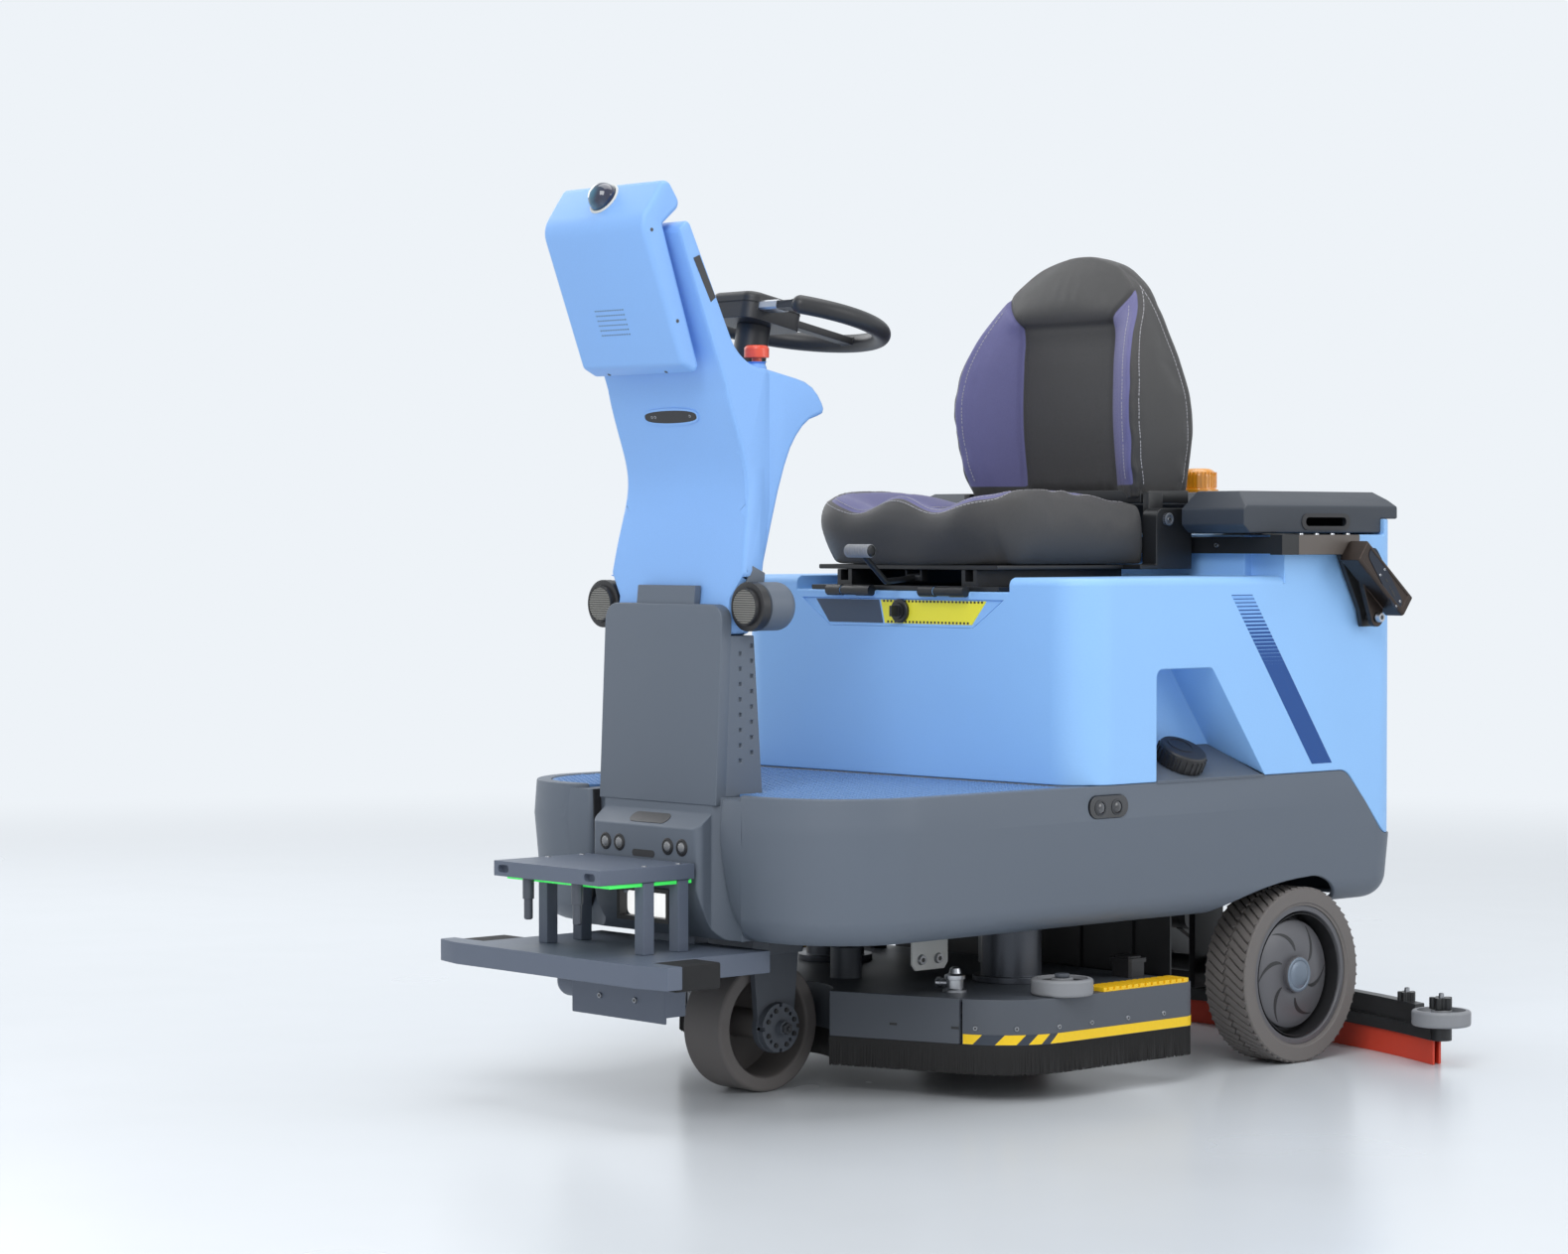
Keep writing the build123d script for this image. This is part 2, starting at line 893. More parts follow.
def control_unit():
    """Drive controller under the footwell, with a finned top."""
    high = rail_top_z + control_height
    case = block(
        -control_half_width - base_overlap,
        control_half_width + base_overlap,
        control_front_y,
        control_rear_y,
        rail_top_z,
        high,
    )
    pitch = 2 * control_half_width / control_fins
    fin_z = high - control_fin_height
    for index in range(control_fins):
        x = -control_half_width + (index + 0.5) * pitch
        case -= block(x - pitch / 4, x + pitch / 4, control_front_y, control_rear_y, fin_z, high)
    return case


def deck_outline():
    """Plan of the brush deck: hollow at the front for the steered wheel, swept back to straight sides."""
    swing = hypot(fork_leg_x + fork_leg + drive_motor_length, hub_flange_radius) + deck_wheel_gap
    nose_y = fork_y + sqrt(swing**2 - deck_nose_x**2)
    side = [
        Line((deck_nose_x, nose_y), (deck_shoulder_x, deck_shoulder_y)),
        TangentArc(
            (deck_half_width, deck_side_front_y), (deck_shoulder_x, deck_shoulder_y), tangent=(0, -1)
        ),
        Line((deck_half_width, deck_side_front_y), (deck_half_width, deck_rear_y - deck_corner)),
        TangentArc(
            (deck_half_width, deck_rear_y - deck_corner),
            (deck_half_width - deck_corner, deck_rear_y),
            tangent=(0, 1),
        ),
        Line((deck_half_width - deck_corner, deck_rear_y), (0, deck_rear_y)),
    ]
    hollow = ThreePointArc((deck_nose_x, nose_y), (0, fork_y + swing), (-deck_nose_x, nose_y))
    return make_face([hollow] + side + [mirror(edge, Plane.YZ) for edge in side])


def deck_housing():
    """Open-bottomed deck cover with guide bosses, motor holes and roller pins."""
    outline = deck_outline()
    cover = upright(outline, deck_z, deck_top_z)
    cover -= upright(offset(outline, -deck_wall), deck_z, deck_top_z - deck_wall)
    for y in (guide_front_y, guide_rear_y):
        cover += rod_z(guide_boss, deck_top_z, deck_top_z + 2 * guide_boss, 0, y)
        cover -= rod_z(guide_radius + running_fit, deck_z, deck_top_z + 2 * guide_boss, 0, y)
    for side in (1, -1):
        x = side * brush_x
        cover -= rod_z(shaft_radius + shaft_clearance, deck_z, deck_top_z, x, brush_y)
        pin_top = deck_top_z + roller_height + 4 * panel_gap
        head_top = pin_top + roller_head
        cover += rod_z(roller_pin, deck_top_z, head_top, side * deck_roller_x, deck_roller_y)
        cover += rod_z(2 * roller_pin, pin_top, head_top, side * deck_roller_x, deck_roller_y)
        slot = Pos(side * deck_shoulder_x, deck_shoulder_y, deck_z) * Box(
            deck_slot, 3 * deck_wall, 2 * deck_height
        )
        cover -= slot - block(-deck_half_width, deck_half_width, guide_front_y, deck_rear_y, 0, deck_top_z)
    return cover


def deck_skirt():
    """Band of bristles below the deck's edge."""
    outline = deck_outline()
    band = offset(outline, -1) - offset(outline, -1 - skirt_thickness)
    return upright(band, skirt_bottom_z, deck_z)


def brush_motors():
    """Two upright motors on the deck, with their drive shafts."""
    motors = []
    for side in (1, -1):
        x = side * brush_x
        body = rod_z(brush_motor_radius, deck_top_z, brush_motor_top_z, x, brush_y)
        body = chamfer(body.edges().group_by(Axis.Z)[-1], motor_chamfer)
        collar_top = deck_top_z + motor_collar_height
        collar = rod_z(brush_motor_radius + motor_collar, deck_top_z, collar_top, x, brush_y)
        shaft = rod_z(shaft_radius, brush_hub_z, deck_top_z, x, brush_y)
        motors.append(body + collar + shaft)
    return motors[0] + motors[1]


def brush(side):
    """Disc brush: bristle ring under a plate, with a hub on the motor's shaft."""
    x = side * brush_x
    low = skirt_bottom_z + brush_rise
    plate_z = low + brush_height - brush_plate
    ring = rod_z(brush_radius, low, plate_z, x, brush_y) - rod_z(brush_radius / 3, low, plate_z, x, brush_y)
    plate = rod_z(brush_radius - brush_plate_inset, plate_z, low + brush_height, x, brush_y)
    hub_top = deck_top_z - deck_wall - brush_top_gap
    hub = rod_z(2 * shaft_radius, low + brush_height, hub_top, x, brush_y)
    bore = rod_z(shaft_radius + running_fit, low, deck_top_z, x, brush_y)
    return ring + plate + hub - bore


def guide_roller():
    """Bumper wheel made around its own middle, with a well in its top."""
    roller = Cylinder(roller_radius, roller_height)
    roller = fillet(roller.edges().filter_by(GeomType.CIRCLE), roller_round)
    well = Cylinder(roller_radius - roller_wall, roller_height) - Cylinder(3 * roller_pin, roller_height)
    roller -= Pos(0, 0, roller_height - roller_well) * well
    return roller - Cylinder(roller_pin + running_fit, 2 * roller_height)


def deck_roller(side):
    """Bumper wheel on top of the deck's corner."""
    low = deck_top_z + panel_gap
    return Pos(side * deck_roller_x, deck_roller_y, low + roller_height / 2) * guide_roller()


def step_strips():
    """Serrated strips on the deck's top edges."""
    outer = deck_half_width - strip_inset_deck
    inner = outer - strip_width
    top = deck_top_z + strip_height
    strip = block(inner, outer, strip_front_y, strip_rear_y, deck_top_z, top)
    tooth = strip_height - strip_base
    pitch = 3 * tooth
    count = int((strip_rear_y - strip_front_y) // pitch)
    for index in range(count):
        y = strip_front_y + (index + 0.5) * pitch
        strip -= block(inner, outer, y, y + tooth, deck_top_z + strip_base, top)
    strip = strip & upright(offset(deck_outline(), -strip_inset_deck), deck_top_z, top)
    return both_sides(strip)


def bow_circle(mid_y, end_y, out):
    """Disc whose edge is the bow through the squeegee's middle and ends, moved outwards."""
    sag = mid_y - end_y
    radius = (squeegee_end_x**2 + sag**2) / (2 * sag)
    return Pos(0, mid_y - radius) * Circle(radius + out)


def bow_band(mid_y, end_y, front, back, half_width):
    """Band along a bow, from front to back of its line."""
    band = bow_circle(mid_y, end_y, back) - bow_circle(mid_y, end_y, -front)
    depth = 4 * (squeegee_mid_y - squeegee_end_y)
    return band & Pos(0, squeegee_mid_y) * Rectangle(2 * half_width, depth)


rear_bow_mid_y = squeegee_mid_y + blade_spread
rear_bow_end_y = squeegee_end_y + blade_spread_ends


def squeegee_blades():
    """Front and rear wiping blades."""
    half = blade_thickness / 2
    front = bow_band(squeegee_mid_y, squeegee_end_y, half, half, squeegee_end_x)
    rear = bow_band(rear_bow_mid_y, rear_bow_end_y, half, half, squeegee_end_x)
    return upright(front + rear, blade_floor_gap, squeegee_frame_z)


def rear_bow_y(x):
    """Place along Y of the rear bow at a distance from the middle."""
    sag = rear_bow_mid_y - rear_bow_end_y
    radius = (squeegee_end_x**2 + sag**2) / (2 * sag)
    return rear_bow_mid_y - radius + sqrt(radius**2 - x**2)


def star_knob(x, y, z, radius):
    """Five-lobed clamping knob on its stem."""
    knob = Cylinder(0.7 * radius, radius)
    for place in PolarLocations(0.7 * radius, 5):
        knob += place * Cylinder(0.32 * radius, radius)
    return Pos(x, y, z + radius / 2) * knob


def squeegee_frame():
    """Curved blade carrier with a stiffening rib, roller pins, knobs and caster brackets."""
    lip = carrier_lip
    base = bow_circle(rear_bow_mid_y, rear_bow_end_y, lip) - bow_circle(squeegee_mid_y, squeegee_end_y, -lip)
    depth = 4 * (squeegee_mid_y - squeegee_end_y)
    base = base & Pos(0, squeegee_mid_y) * Rectangle(2 * squeegee_end_x, depth)
    ear_top = squeegee_roller_z - roller_lift
    frame = upright(base, squeegee_frame_z, ear_top)
    rib_half = squeegee_roller_x - roller_radius - 2 * lip
    rib_mid = (squeegee_mid_y + rear_bow_mid_y) / 2
    rib_end = (squeegee_end_y + rear_bow_end_y) / 2
    rib = bow_band(rib_mid, rib_end, 1.5 * lip, 1.5 * lip, rib_half)
    frame += upright(rib, ear_top, squeegee_frame_top_z)
    frame += block(
        -latch_half_width, latch_half_width, rear_bow_mid_y, squeegee_rear_y, squeegee_frame_z, ear_top
    )
    for side in (1, -1):
        x = side * squeegee_roller_x
        pin_top = squeegee_roller_z + roller_height + 4 * panel_gap
        frame += rod_z(3 * roller_pin, squeegee_frame_z, ear_top, x, squeegee_roller_y)
        frame += rod_z(roller_pin, ear_top, pin_top + knob_stem, x, squeegee_roller_y)
        frame += star_knob(x, squeegee_roller_y, pin_top, knob_radius)
        knob_x = side * (rib_half - 2 * knob_radius)
        knob_y = rear_bow_y(knob_x) - blade_spread / 3
        frame += star_knob(knob_x, knob_y, squeegee_frame_top_z, 0.8 * knob_radius)
        frame += caster_bracket(side)
    return frame


def caster_place(side):
    """Centre of a support caster behind the rear blade."""
    y = rear_bow_y(caster_x) + caster_radius + caster_gap
    return side * caster_x, y, caster_floor_gap + caster_radius


def caster_bracket(side):
    """Two cheeks and a pin that carry a support caster."""
    x, y, z = caster_place(side)
    cheek = caster_cheek
    inner = caster_width / 2 + panel_gap
    front = rear_bow_y(caster_x) - cheek
    top = squeegee_frame_z + caster_plate
    bracket = rod_x(hinge_pin_radius, x - inner - cheek, x + inner + cheek, y, z)
    for lean in (1, -1):
        plate_x = x + lean * (inner + cheek / 2)
        low_x = plate_x - cheek / 2
        high_x = plate_x + cheek / 2
        bracket += block(low_x, high_x, front, y + caster_foot, squeegee_frame_z, top)
        bracket += block(low_x, high_x, y - caster_foot, y + caster_foot, z - caster_foot, top)
    return bracket


def squeegee_caster(side):
    """Small support wheel."""
    x, y, z = caster_place(side)
    half = caster_width / 2
    wheel = rod_x(caster_radius, x - half, x + half, y, z)
    wheel = fillet(wheel.edges().filter_by(GeomType.CIRCLE), caster_round)
    return wheel - rod_x(hinge_pin_radius + running_fit, x - half, x + half, y, z)


def squeegee_roller(side):
    """Guide wheel at the end of the squeegee."""
    z = squeegee_roller_z + roller_height / 2
    return Pos(side * squeegee_roller_x, squeegee_roller_y, z) * guide_roller()


def squeegee_arm():
    """Lift arm: two cheeks from the pivot to a foot on the squeegee's rib."""
    foot_mid = (squeegee_mid_y + rear_bow_mid_y) / 2
    foot_half = arm_foot
    top = squeegee_frame_top_z
    eye = 2 * arm_pin_radius
    cheek = side_prism(
        [
            (arm_pivot_y, arm_pivot_z + eye),
            (arm_pivot_y - eye / 2, arm_pivot_z - eye),
            (foot_mid - foot_half, top),
            (foot_mid + foot_half, top),
            (foot_mid + foot_half, top + eye),
        ],
        arm_half_width - arm_plate,
        arm_half_width,
    )
    cheek += rod_x(eye, arm_half_width - arm_plate, arm_half_width, arm_pivot_y, arm_pivot_z)
    arm = both_sides(cheek)
    inner = arm_half_width - arm_plate
    arm += block(-inner, inner, foot_mid - foot_half, foot_mid + foot_half, top, top + arm_plate)
    arm += rod_x(eye, -inner, inner, arm_pivot_y, arm_pivot_z)
    bore = arm_pin_radius + running_fit
    return arm - rod_x(bore, -arm_half_width, arm_half_width, arm_pivot_y, arm_pivot_z)


def rounded_plan(half_width, front_y, rear_y, front_corner, rear_corner):
    """Plan of a housing: a rectangle with its own corner radii at the front and the rear."""
    plan = Pos(0, (front_y + rear_y) / 2) * Rectangle(2 * half_width, rear_y - front_y)
    plan = fillet(plan.vertices().group_by(Axis.Y)[0], front_corner)
    return fillet(plan.vertices().group_by(Axis.Y)[-1], rear_corner)


def hull_solid(inset, low_z, bottom_round):
    """Hull form, moved inwards: drafted below and above its crease, with a rounded bottom edge."""
    plan = Plane.XY.offset(crease_z) * rounded_plan(
        hull_half_width - inset,
        hull_front_y + inset,
        hull_rear_y - inset,
        hull_front_corner - inset,
        hull_rear_corner - inset,
    )
    lower = extrude(plan, crease_z - low_z, dir=(0, 0, -1), taper=lower_draft)
    lower = fillet(lower.edges().group_by(Axis.Z)[0], bottom_round)
    return lower + extrude(plan, hull_top_z - crease_z, dir=(0, 0, 1), taper=upper_draft)


def above_seam(lift):
    """All that lies above the seam between hull and body, which drops in an S at the rear."""
    low = (seam_low_y, seam_low_z + lift)
    far_y = 2 * hull_rear_y
    far_z = 2 * tank_strip_z
    bend = (hull_top_z - seam_low_z) / 3
    outline = Polygon(
        (-far_y, hull_top_z + lift),
        (seam_drop_y, hull_top_z + lift),
        low,
        (far_y, seam_low_z + lift),
        (far_y, far_z),
        (-far_y, far_z),
        align=None,
    )
    bends = [v for v in outline.vertices() if seam_drop_y - 1 < v.X < seam_low_y + 1]
    outline = fillet(bends, bend)
    return across(outline, -2 * hull_half_width, 2 * hull_half_width)


def wheel_arch():
    """Cut for a rear wheel: a long slope in front of the wheel and a short one behind it."""
    low = hull_bottom_z - arch_drop
    top_y = rear_axle_y + arch_crown
    top_z = 2 * rear_wheel_radius + arch_clearance
    rise = top_z - low
    front = ThreePointArc(
        (arch_front_y, low),
        (arch_front_y + 0.56 * (top_y - arch_front_y), low + 0.78 * rise),
        (top_y, top_z),
    )
    rear = ThreePointArc(
        (top_y, top_z), (top_y + 0.7 * (arch_rear_y - top_y), low + 0.69 * rise), (arch_rear_y, low)
    )
    face = make_face([front, rear, Line((arch_rear_y, low), (arch_front_y, low))])
    inner = rear_wheel_x - rear_tyre_width / 2 - arch_clearance
    return across(face, inner, hull_half_width + arch_clearance)


def filler_outline(inset):
    """Side view of the filler recess, moved inwards."""
    outline = Polygon(
        (filler_front_y, hull_top_z - 1),
        (filler_rear_low_y, hull_top_z - 1),
        (filler_rear_high_y, filler_top_z),
        (filler_front_y, filler_top_z),
        align=None,
    )
    outline = fillet(outline.vertices().group_by(Axis.Y)[-1], filler_corner)
    return offset(outline, -inset) if inset else outline


def filler_prism(inset, inner_x, outer_x):
    """The filler recess as a prism across the left side."""
    return across(filler_outline(inset), inner_x, outer_x)


filler_inner_x = body_half_width - filler_depth
cap_tilt = degrees(atan2(filler_floor_rise, filler_depth))
cap_z = hull_top_z + (body_half_width - cap_x) * filler_floor_rise / filler_depth


def on_filler(part):
    """Move a piece made around Z onto the sloping filler floor."""
    return Pos(cap_x, cap_y, cap_z) * Rot(0, cap_tilt, 0) * part


def lower_hull():
    """Lower casing: open below, with the footwell floor, the fascia notch, arches and the filler floor."""
    hull = hull_solid(0, hull_bottom_z, hull_bottom_round)
    cavity = hull_solid(wall, hull_bottom_z + wall, hull_bottom_round - wall)
    sill_y = body_front_y + 4 * wall
    far = 2 * hull_rear_y
    under_floor = block(-far, far, -far, sill_y, hull_bottom_z, floor_z - floor_plate)
    behind = block(-far, far, sill_y, far, hull_bottom_z, far)
    hull -= cavity & (under_floor + behind)
    plan = rounded_plan(
        hull_half_width - hull_rim,
        hull_front_y + hull_rim,
        hull_rear_y - hull_rim,
        hull_front_corner - hull_rim,
        hull_rear_corner - hull_rim / 2,
    )
    hull -= upright(plan, hull_bottom_z - 1, hull_bottom_z + 2 * wall)
    footwell = rounded_plan(
        hull_half_width - floor_rim,
        hull_front_y + floor_rim,
        hull_rear_y,
        hull_front_corner - floor_rim,
        hull_rear_corner,
    )
    well = upright(footwell, floor_z, floor_z + 2 * footwell_drop)
    hull -= well & block(-far, far, -far, body_front_y - panel_gap, floor_z, far)
    hull -= upright(notch_plan(), 0, 2 * hull_top_z)
    hull -= above_seam(0)
    hull -= both_sides(wheel_arch())
    hull -= both_sides(side_eye_pill(hull_half_width - eye_depth))
    neck_height = (cap_height + wall) / 2
    neck_middle = (cap_height - wall) / 4
    neck = on_filler(Pos(0, 0, neck_middle) * Cylinder(filler_neck_radius, neck_height))
    ramp = front_prism(
        [
            (hull_half_width - 2 * wall, hull_top_z - ramp_edge),
            (body_half_width, hull_top_z - ramp_edge),
            (body_half_width, hull_top_z),
            (filler_inner_x, hull_top_z + filler_floor_rise),
            (filler_inner_x, hull_top_z + filler_floor_rise - wall),
        ],
        filler_front_y,
        filler_rear_low_y,
    )
    room = filler_prism(2 * panel_gap, filler_inner_x + panel_gap, body_half_width + 1)
    return hull + (ramp + neck & room)


def notch_plan():
    """Plan of the notch for the fascia, with the hull's lobes rounded beside it."""
    lobe_x = notch_half_width + notch_round
    lobe_y = hull_front_y + notch_round
    reach = notch_round * sqrt(0.5)
    mouth_y = hull_front_y - notch_round
    side = [
        Line((notch_half_width, fascia_back_y), (notch_half_width, lobe_y)),
        ThreePointArc((notch_half_width, lobe_y), (lobe_x - reach, lobe_y - reach), (lobe_x, hull_front_y)),
        Line((lobe_x, hull_front_y), (lobe_x, mouth_y)),
    ]
    back = Line((-notch_half_width, fascia_back_y), (notch_half_width, fascia_back_y))
    mouth = Line((-lobe_x, mouth_y), (lobe_x, mouth_y))
    return make_face(side + [mirror(edge, Plane.YZ) for edge in side] + [back, mouth])


def side_eye_pill(inner_x):
    """Rounded-end block for the pair of sensor eyes on the hull's side."""
    length = eye_rear_y - eye_front_y
    pill = Pos((eye_front_y + eye_rear_y) / 2, eye_z) * SlotOverall(length, eye_height)
    return across(pill, inner_x, inner_x + 3 * eye_depth)


def fascia():
    """Front cover between the hull's lobes: upright face, ledge, tucked lower edge and concave flanks."""
    back = fascia_back_y - panel_gap
    flank_x = notch_half_width - panel_gap
    flank_y = hull_front_y + flank_reach
    side_y = ledge_back_y
    edges = [
        Line((fascia_half_width, fascia_front_y), (fascia_half_width, side_y)),
        ThreePointArc(
            (fascia_half_width, side_y),
            (fascia_half_width + 0.3 * (flank_x - fascia_half_width), side_y + 0.75 * (flank_y - side_y)),
            (flank_x, flank_y),
        ),
        Line((flank_x, flank_y), (flank_x, back)),
    ]
    front = Line((-fascia_half_width, fascia_front_y), (fascia_half_width, fascia_front_y))
    rear = Line((-flank_x, back), (flank_x, back))
    plan = make_face(edges + [mirror(edge, Plane.YZ) for edge in edges] + [front, rear])
    plan = fillet(plan.vertices().group_by(Axis.Y)[0], fascia_corner)
    form = upright(plan, hull_bottom_z, floor_z)
    tuck_y = fascia_front_y + fascia_tuck
    side = make_face(
        [
            Line((fascia_front_y, ledge_low_z), (fascia_front_y, fascia_face_low_z)),
            ThreePointArc(
                (fascia_front_y, fascia_face_low_z),
                (fascia_front_y + fascia_tuck_bulge, (fascia_face_low_z + hull_bottom_z) / 2),
                (tuck_y, hull_bottom_z),
            ),
            Polyline(
                (tuck_y, hull_bottom_z),
                (back, hull_bottom_z),
                (back, floor_z),
                (ledge_back_y, floor_z),
                (ledge_back_y, ledge_high_z),
                (fascia_front_y, ledge_low_z),
            ),
        ]
    )
    form = form & across(side, -notch_half_width, notch_half_width)
    form -= lamp_block(2 * panel_gap)
    for x in eye_places():
        form -= rod_y(eye_radius, fascia_front_y - 1, fascia_front_y + eye_recess, x, fascia_eye_z)
    return form - block(
        -fascia_slot_half,
        fascia_slot_half,
        fascia_front_y - 1,
        fascia_front_y + fascia_slot_depth,
        fascia_slot_z,
        fascia_slot_z + fascia_slot_height,
    )


def lamp_block(grow):
    """Rounded block of the front lamp, grown for its recess."""
    half = lamp_half_width + grow
    back = fascia_front_y + lamp_depth + grow
    lamp = block(-half, half, fascia_front_y - lamp_depth, back, lamp_z - grow, lamp_z + lamp_height + grow)
    return fillet(lamp.edges().filter_by(Axis.Y), lamp_corner)


def front_lamp():
    """White lamp behind the platform, set back in its recess."""
    front = fascia_front_y + lamp_setback
    return lamp_block(0) & block(
        -lamp_half_width, lamp_half_width, front, fascia_front_y + lamp_depth, 0, hull_top_z
    )


def eye_places():
    """Places across the fascia of its four sensor eyes."""
    return [side * x for side in (1, -1) for x in (fascia_eye_x, fascia_eye_x + fascia_eye_pitch)]


def sensor_windows():
    """Dark windows and sensor eyes: ledge, fascia face, both hull sides."""
    eyes = [
        rod_y(
            eye_radius - panel_gap, fascia_front_y - eye_stand, fascia_front_y + eye_recess, x, fascia_eye_z
        )
        for x in eye_places()
    ]
    pill = side_eye_pill(hull_half_width - eye_depth)
    pill = pill & block(0, hull_half_width + 1, eye_front_y, eye_rear_y, 0, hull_top_z)
    windows = both_sides(pill)
    for eye in eyes:
        windows += eye
    return windows


def footwell_mat():
    """Dotted mat on the footwell floor, cut out round the column and the pedal."""
    rim = floor_rim + mat_inset
    plan = rounded_plan(
        hull_half_width - rim, hull_front_y + rim, hull_rear_y, hull_front_corner - rim, hull_rear_corner
    )
    mat = upright(plan, floor_z, floor_z + mat_thickness)
    far = 2 * hull_rear_y
    mat = mat & block(-far, far, -far, body_front_y - mat_inset, 0, far)
    notch = notch_half_width + mat_gap
    mat -= block(-notch, notch, -far, fascia_back_y + mat_gap, 0, far)
    panel = panel_half_width + mat_gap
    mat -= block(-panel, panel, -far, panel_back_y + mat_gap, 0, far)
    half = pedal_width / 2 + mat_pedal_side
    return mat - block(
        pedal_x - half,
        pedal_x + half,
        pedal_heel_y - pedal_length,
        pedal_heel_y + mat_pedal_rear,
        0,
        far,
    )


def body_plan(inset):
    """Plan of the upper body, moved inwards."""
    return rounded_plan(
        body_half_width - inset,
        body_front_y + inset,
        body_rear_y - inset,
        body_front_corner - inset,
        body_rear_corner - inset,
    )


def body_shell():
    """Upper body: front wall, shoulders, seat tray, filler recess and the tank's upper half."""
    far = 2 * body_half_width
    high = 2 * tank_strip_z
    lower = upright(body_plan(0), seam_low_z, shoulder_z)
    lower = fillet(lower.edges().group_by(Axis.Z)[-1], shoulder_round)
    tall = upright(body_plan(0), seam_low_z, tank_strip_z)
    tank = tall & block(-far, far, tank_front_y, body_rear_y, seam_low_z, tank_top_z)
    tank += tall & block(-far, far, tank_strip_y, body_rear_y, seam_low_z, tank_strip_z)
    inset_front = block(
        -tank_inset_half_width, tank_inset_half_width, tank_inset_y, tank_front_y, tray_z, tank_top_z
    )
    shell = lower + tank + inset_front
    shell -= block(
        -tray_half_width, tray_half_width, body_front_y - 1, tray_rear_y, tray_z, shoulder_z + 1
    )
    inner = upright(body_plan(wall), seam_low_z - 1, high)
    front_room = inner & block(-far, far, body_front_y, tank_front_y + wall, 0, tray_z - wall)
    side_room = inner & both_sides(
        block(tray_half_width + wall, far, body_front_y, tank_front_y - wall, 0, shoulder_z - wall)
    )
    tank_room = inner & block(-far, far, tank_front_y + wall, body_rear_y, 0, tank_top_z - wall)
    shell -= front_room + side_room + tank_room
    shell -= block(-mouth_half_width, mouth_half_width, mouth_front_y, tank_strip_y, 0, high)
    shell += filler_prism(-wall, filler_inner_x - wall, body_half_width)
    shell -= filler_prism(0, filler_inner_x, body_half_width + 1)
    shell -= front_prism(
        [
            (-label_half_width_low, label_low_z),
            (label_half_width_low, label_low_z),
            (label_half_width_top, label_top_z),
            (-label_half_width_top, label_top_z),
        ],
        body_front_y - 1,
        body_front_y + label_depth,
    )
    shell -= rod_y(key_radius + running_fit, body_front_y - 1, body_front_y + 2 * wall, 0, key_z)
    shell = shell & above_seam(panel_gap)
    shell += both_sides(seat_hinge_lugs())
    return shell + both_sides(lid_hinge_lugs())


def seat_hinge_lugs():
    """Two knuckles on the front wall and the pin of a seat hinge."""
    half = knuckle_length / 2
    lugs = rod_x(
        hinge_pin_radius, seat_hinge_x - 3 * half, seat_hinge_x + 3 * half, seat_hinge_y, seat_hinge_z
    )
    for x in (seat_hinge_x - 3 * half, seat_hinge_x + half):
        lugs += rod_x(knuckle_radius, x, x + knuckle_length, seat_hinge_y, seat_hinge_z)
        lugs += block(
            x,
            x + knuckle_length,
            seat_hinge_y,
            body_front_y + wall / 2,
            seat_hinge_z - knuckle_radius,
            tray_z,
        )
    return lugs


def lid_hinge_lugs():
    """Two knuckles on the rear wall and the pin of a lid hinge."""
    half = knuckle_length / 2
    lugs = rod_x(hinge_pin_radius, lid_hinge_x - 3 * half, lid_hinge_x + 3 * half, lid_hinge_y, lid_hinge_z)
    for x in (lid_hinge_x - 3 * half, lid_hinge_x + half):
        lugs += rod_x(knuckle_radius, x, x + knuckle_length, lid_hinge_y, lid_hinge_z)
        lugs += block(
            x,
            x + knuckle_length,
            body_rear_y - wall / 2,
            lid_hinge_y,
            lid_hinge_z - 3 * knuckle_radius,
            lid_hinge_z - knuckle_radius / 2,
        )
    return lugs


def key_barrel():
    """Key switch in the front wall, with its grip."""
    face = body_front_y - key_stand
    barrel = rod_y(key_radius, face, body_front_y + key_depth, 0, key_z)
    half = key_grip_thickness / 2
    return barrel + block(-half, half, face - key_grip, face, key_z - key_grip_half, key_z + key_grip_half)


def fill_cap():
    """Ribbed screw cap on the filler neck."""
    cap = Cylinder(cap_radius - cap_skirt, cap_height)
    cap = fillet(cap.edges().group_by(Axis.Z)[-1], cap_round)
    for place in PolarLocations(cap_radius - cap_skirt, cap_ribs):
        cap += place * Pos(0, 0, -cap_skirt) * Box(cap_rib, cap_rib, cap_height - cap_rib_short)
    neck = cap_height / 2 + panel_gap
    cap -= Pos(0, 0, (neck - cap_height) / 2) * Cylinder(filler_neck_radius + running_fit, neck)
    return on_filler(Pos(0, 0, cap_height / 2 + panel_gap) * cap)


def column_panel():
    """Grey lower column cover with rounded front edges, a top tab and vent rows in its sides."""
    cover = side_prism(
        [
            (panel_front_low_y, floor_z),
            (panel_back_y, floor_z),
            (panel_back_y - panel_back_lean, panel_top_z),
            (panel_front_high_y, panel_top_z),
        ],
        -panel_half_width,
        panel_half_width,
    )
    tall = (panel_top_z - floor_z) / 2
    front = [edge for edge in cover.edges() if edge.center().Y < panel_front_high_y + 1]
    uprights = [edge for edge in front if edge.length > tall and abs(edge.center().X) > panel_half_width - 1]
    cover = fillet(uprights, panel_front_round)
    tab_back_y = panel_front_high_y + tab_thickness
    tab = side_prism(
        [
            (panel_front_high_y, panel_top_z - tab_foot),
            (tab_back_y, panel_top_z - tab_foot),
            (tab_back_y + tab_lean, tab_top_z),
            (panel_front_high_y + tab_lean, tab_top_z),
        ],
        -tab_half_width,
        tab_half_width,
    )
    cover += tab
    for row in range(vent_rows):
        for column in range(vent_columns):
            y = panel_back_y - vent_back + column * vent_pitch
            z = floor_z + vent_rise + (row + column / 2) * vent_pitch
            for side in (1, -1):
                vent = Pos(side * panel_half_width, y, z) * Box(2 * vent_depth, vent_size, vent_size)
                cover -= vent
    return cover


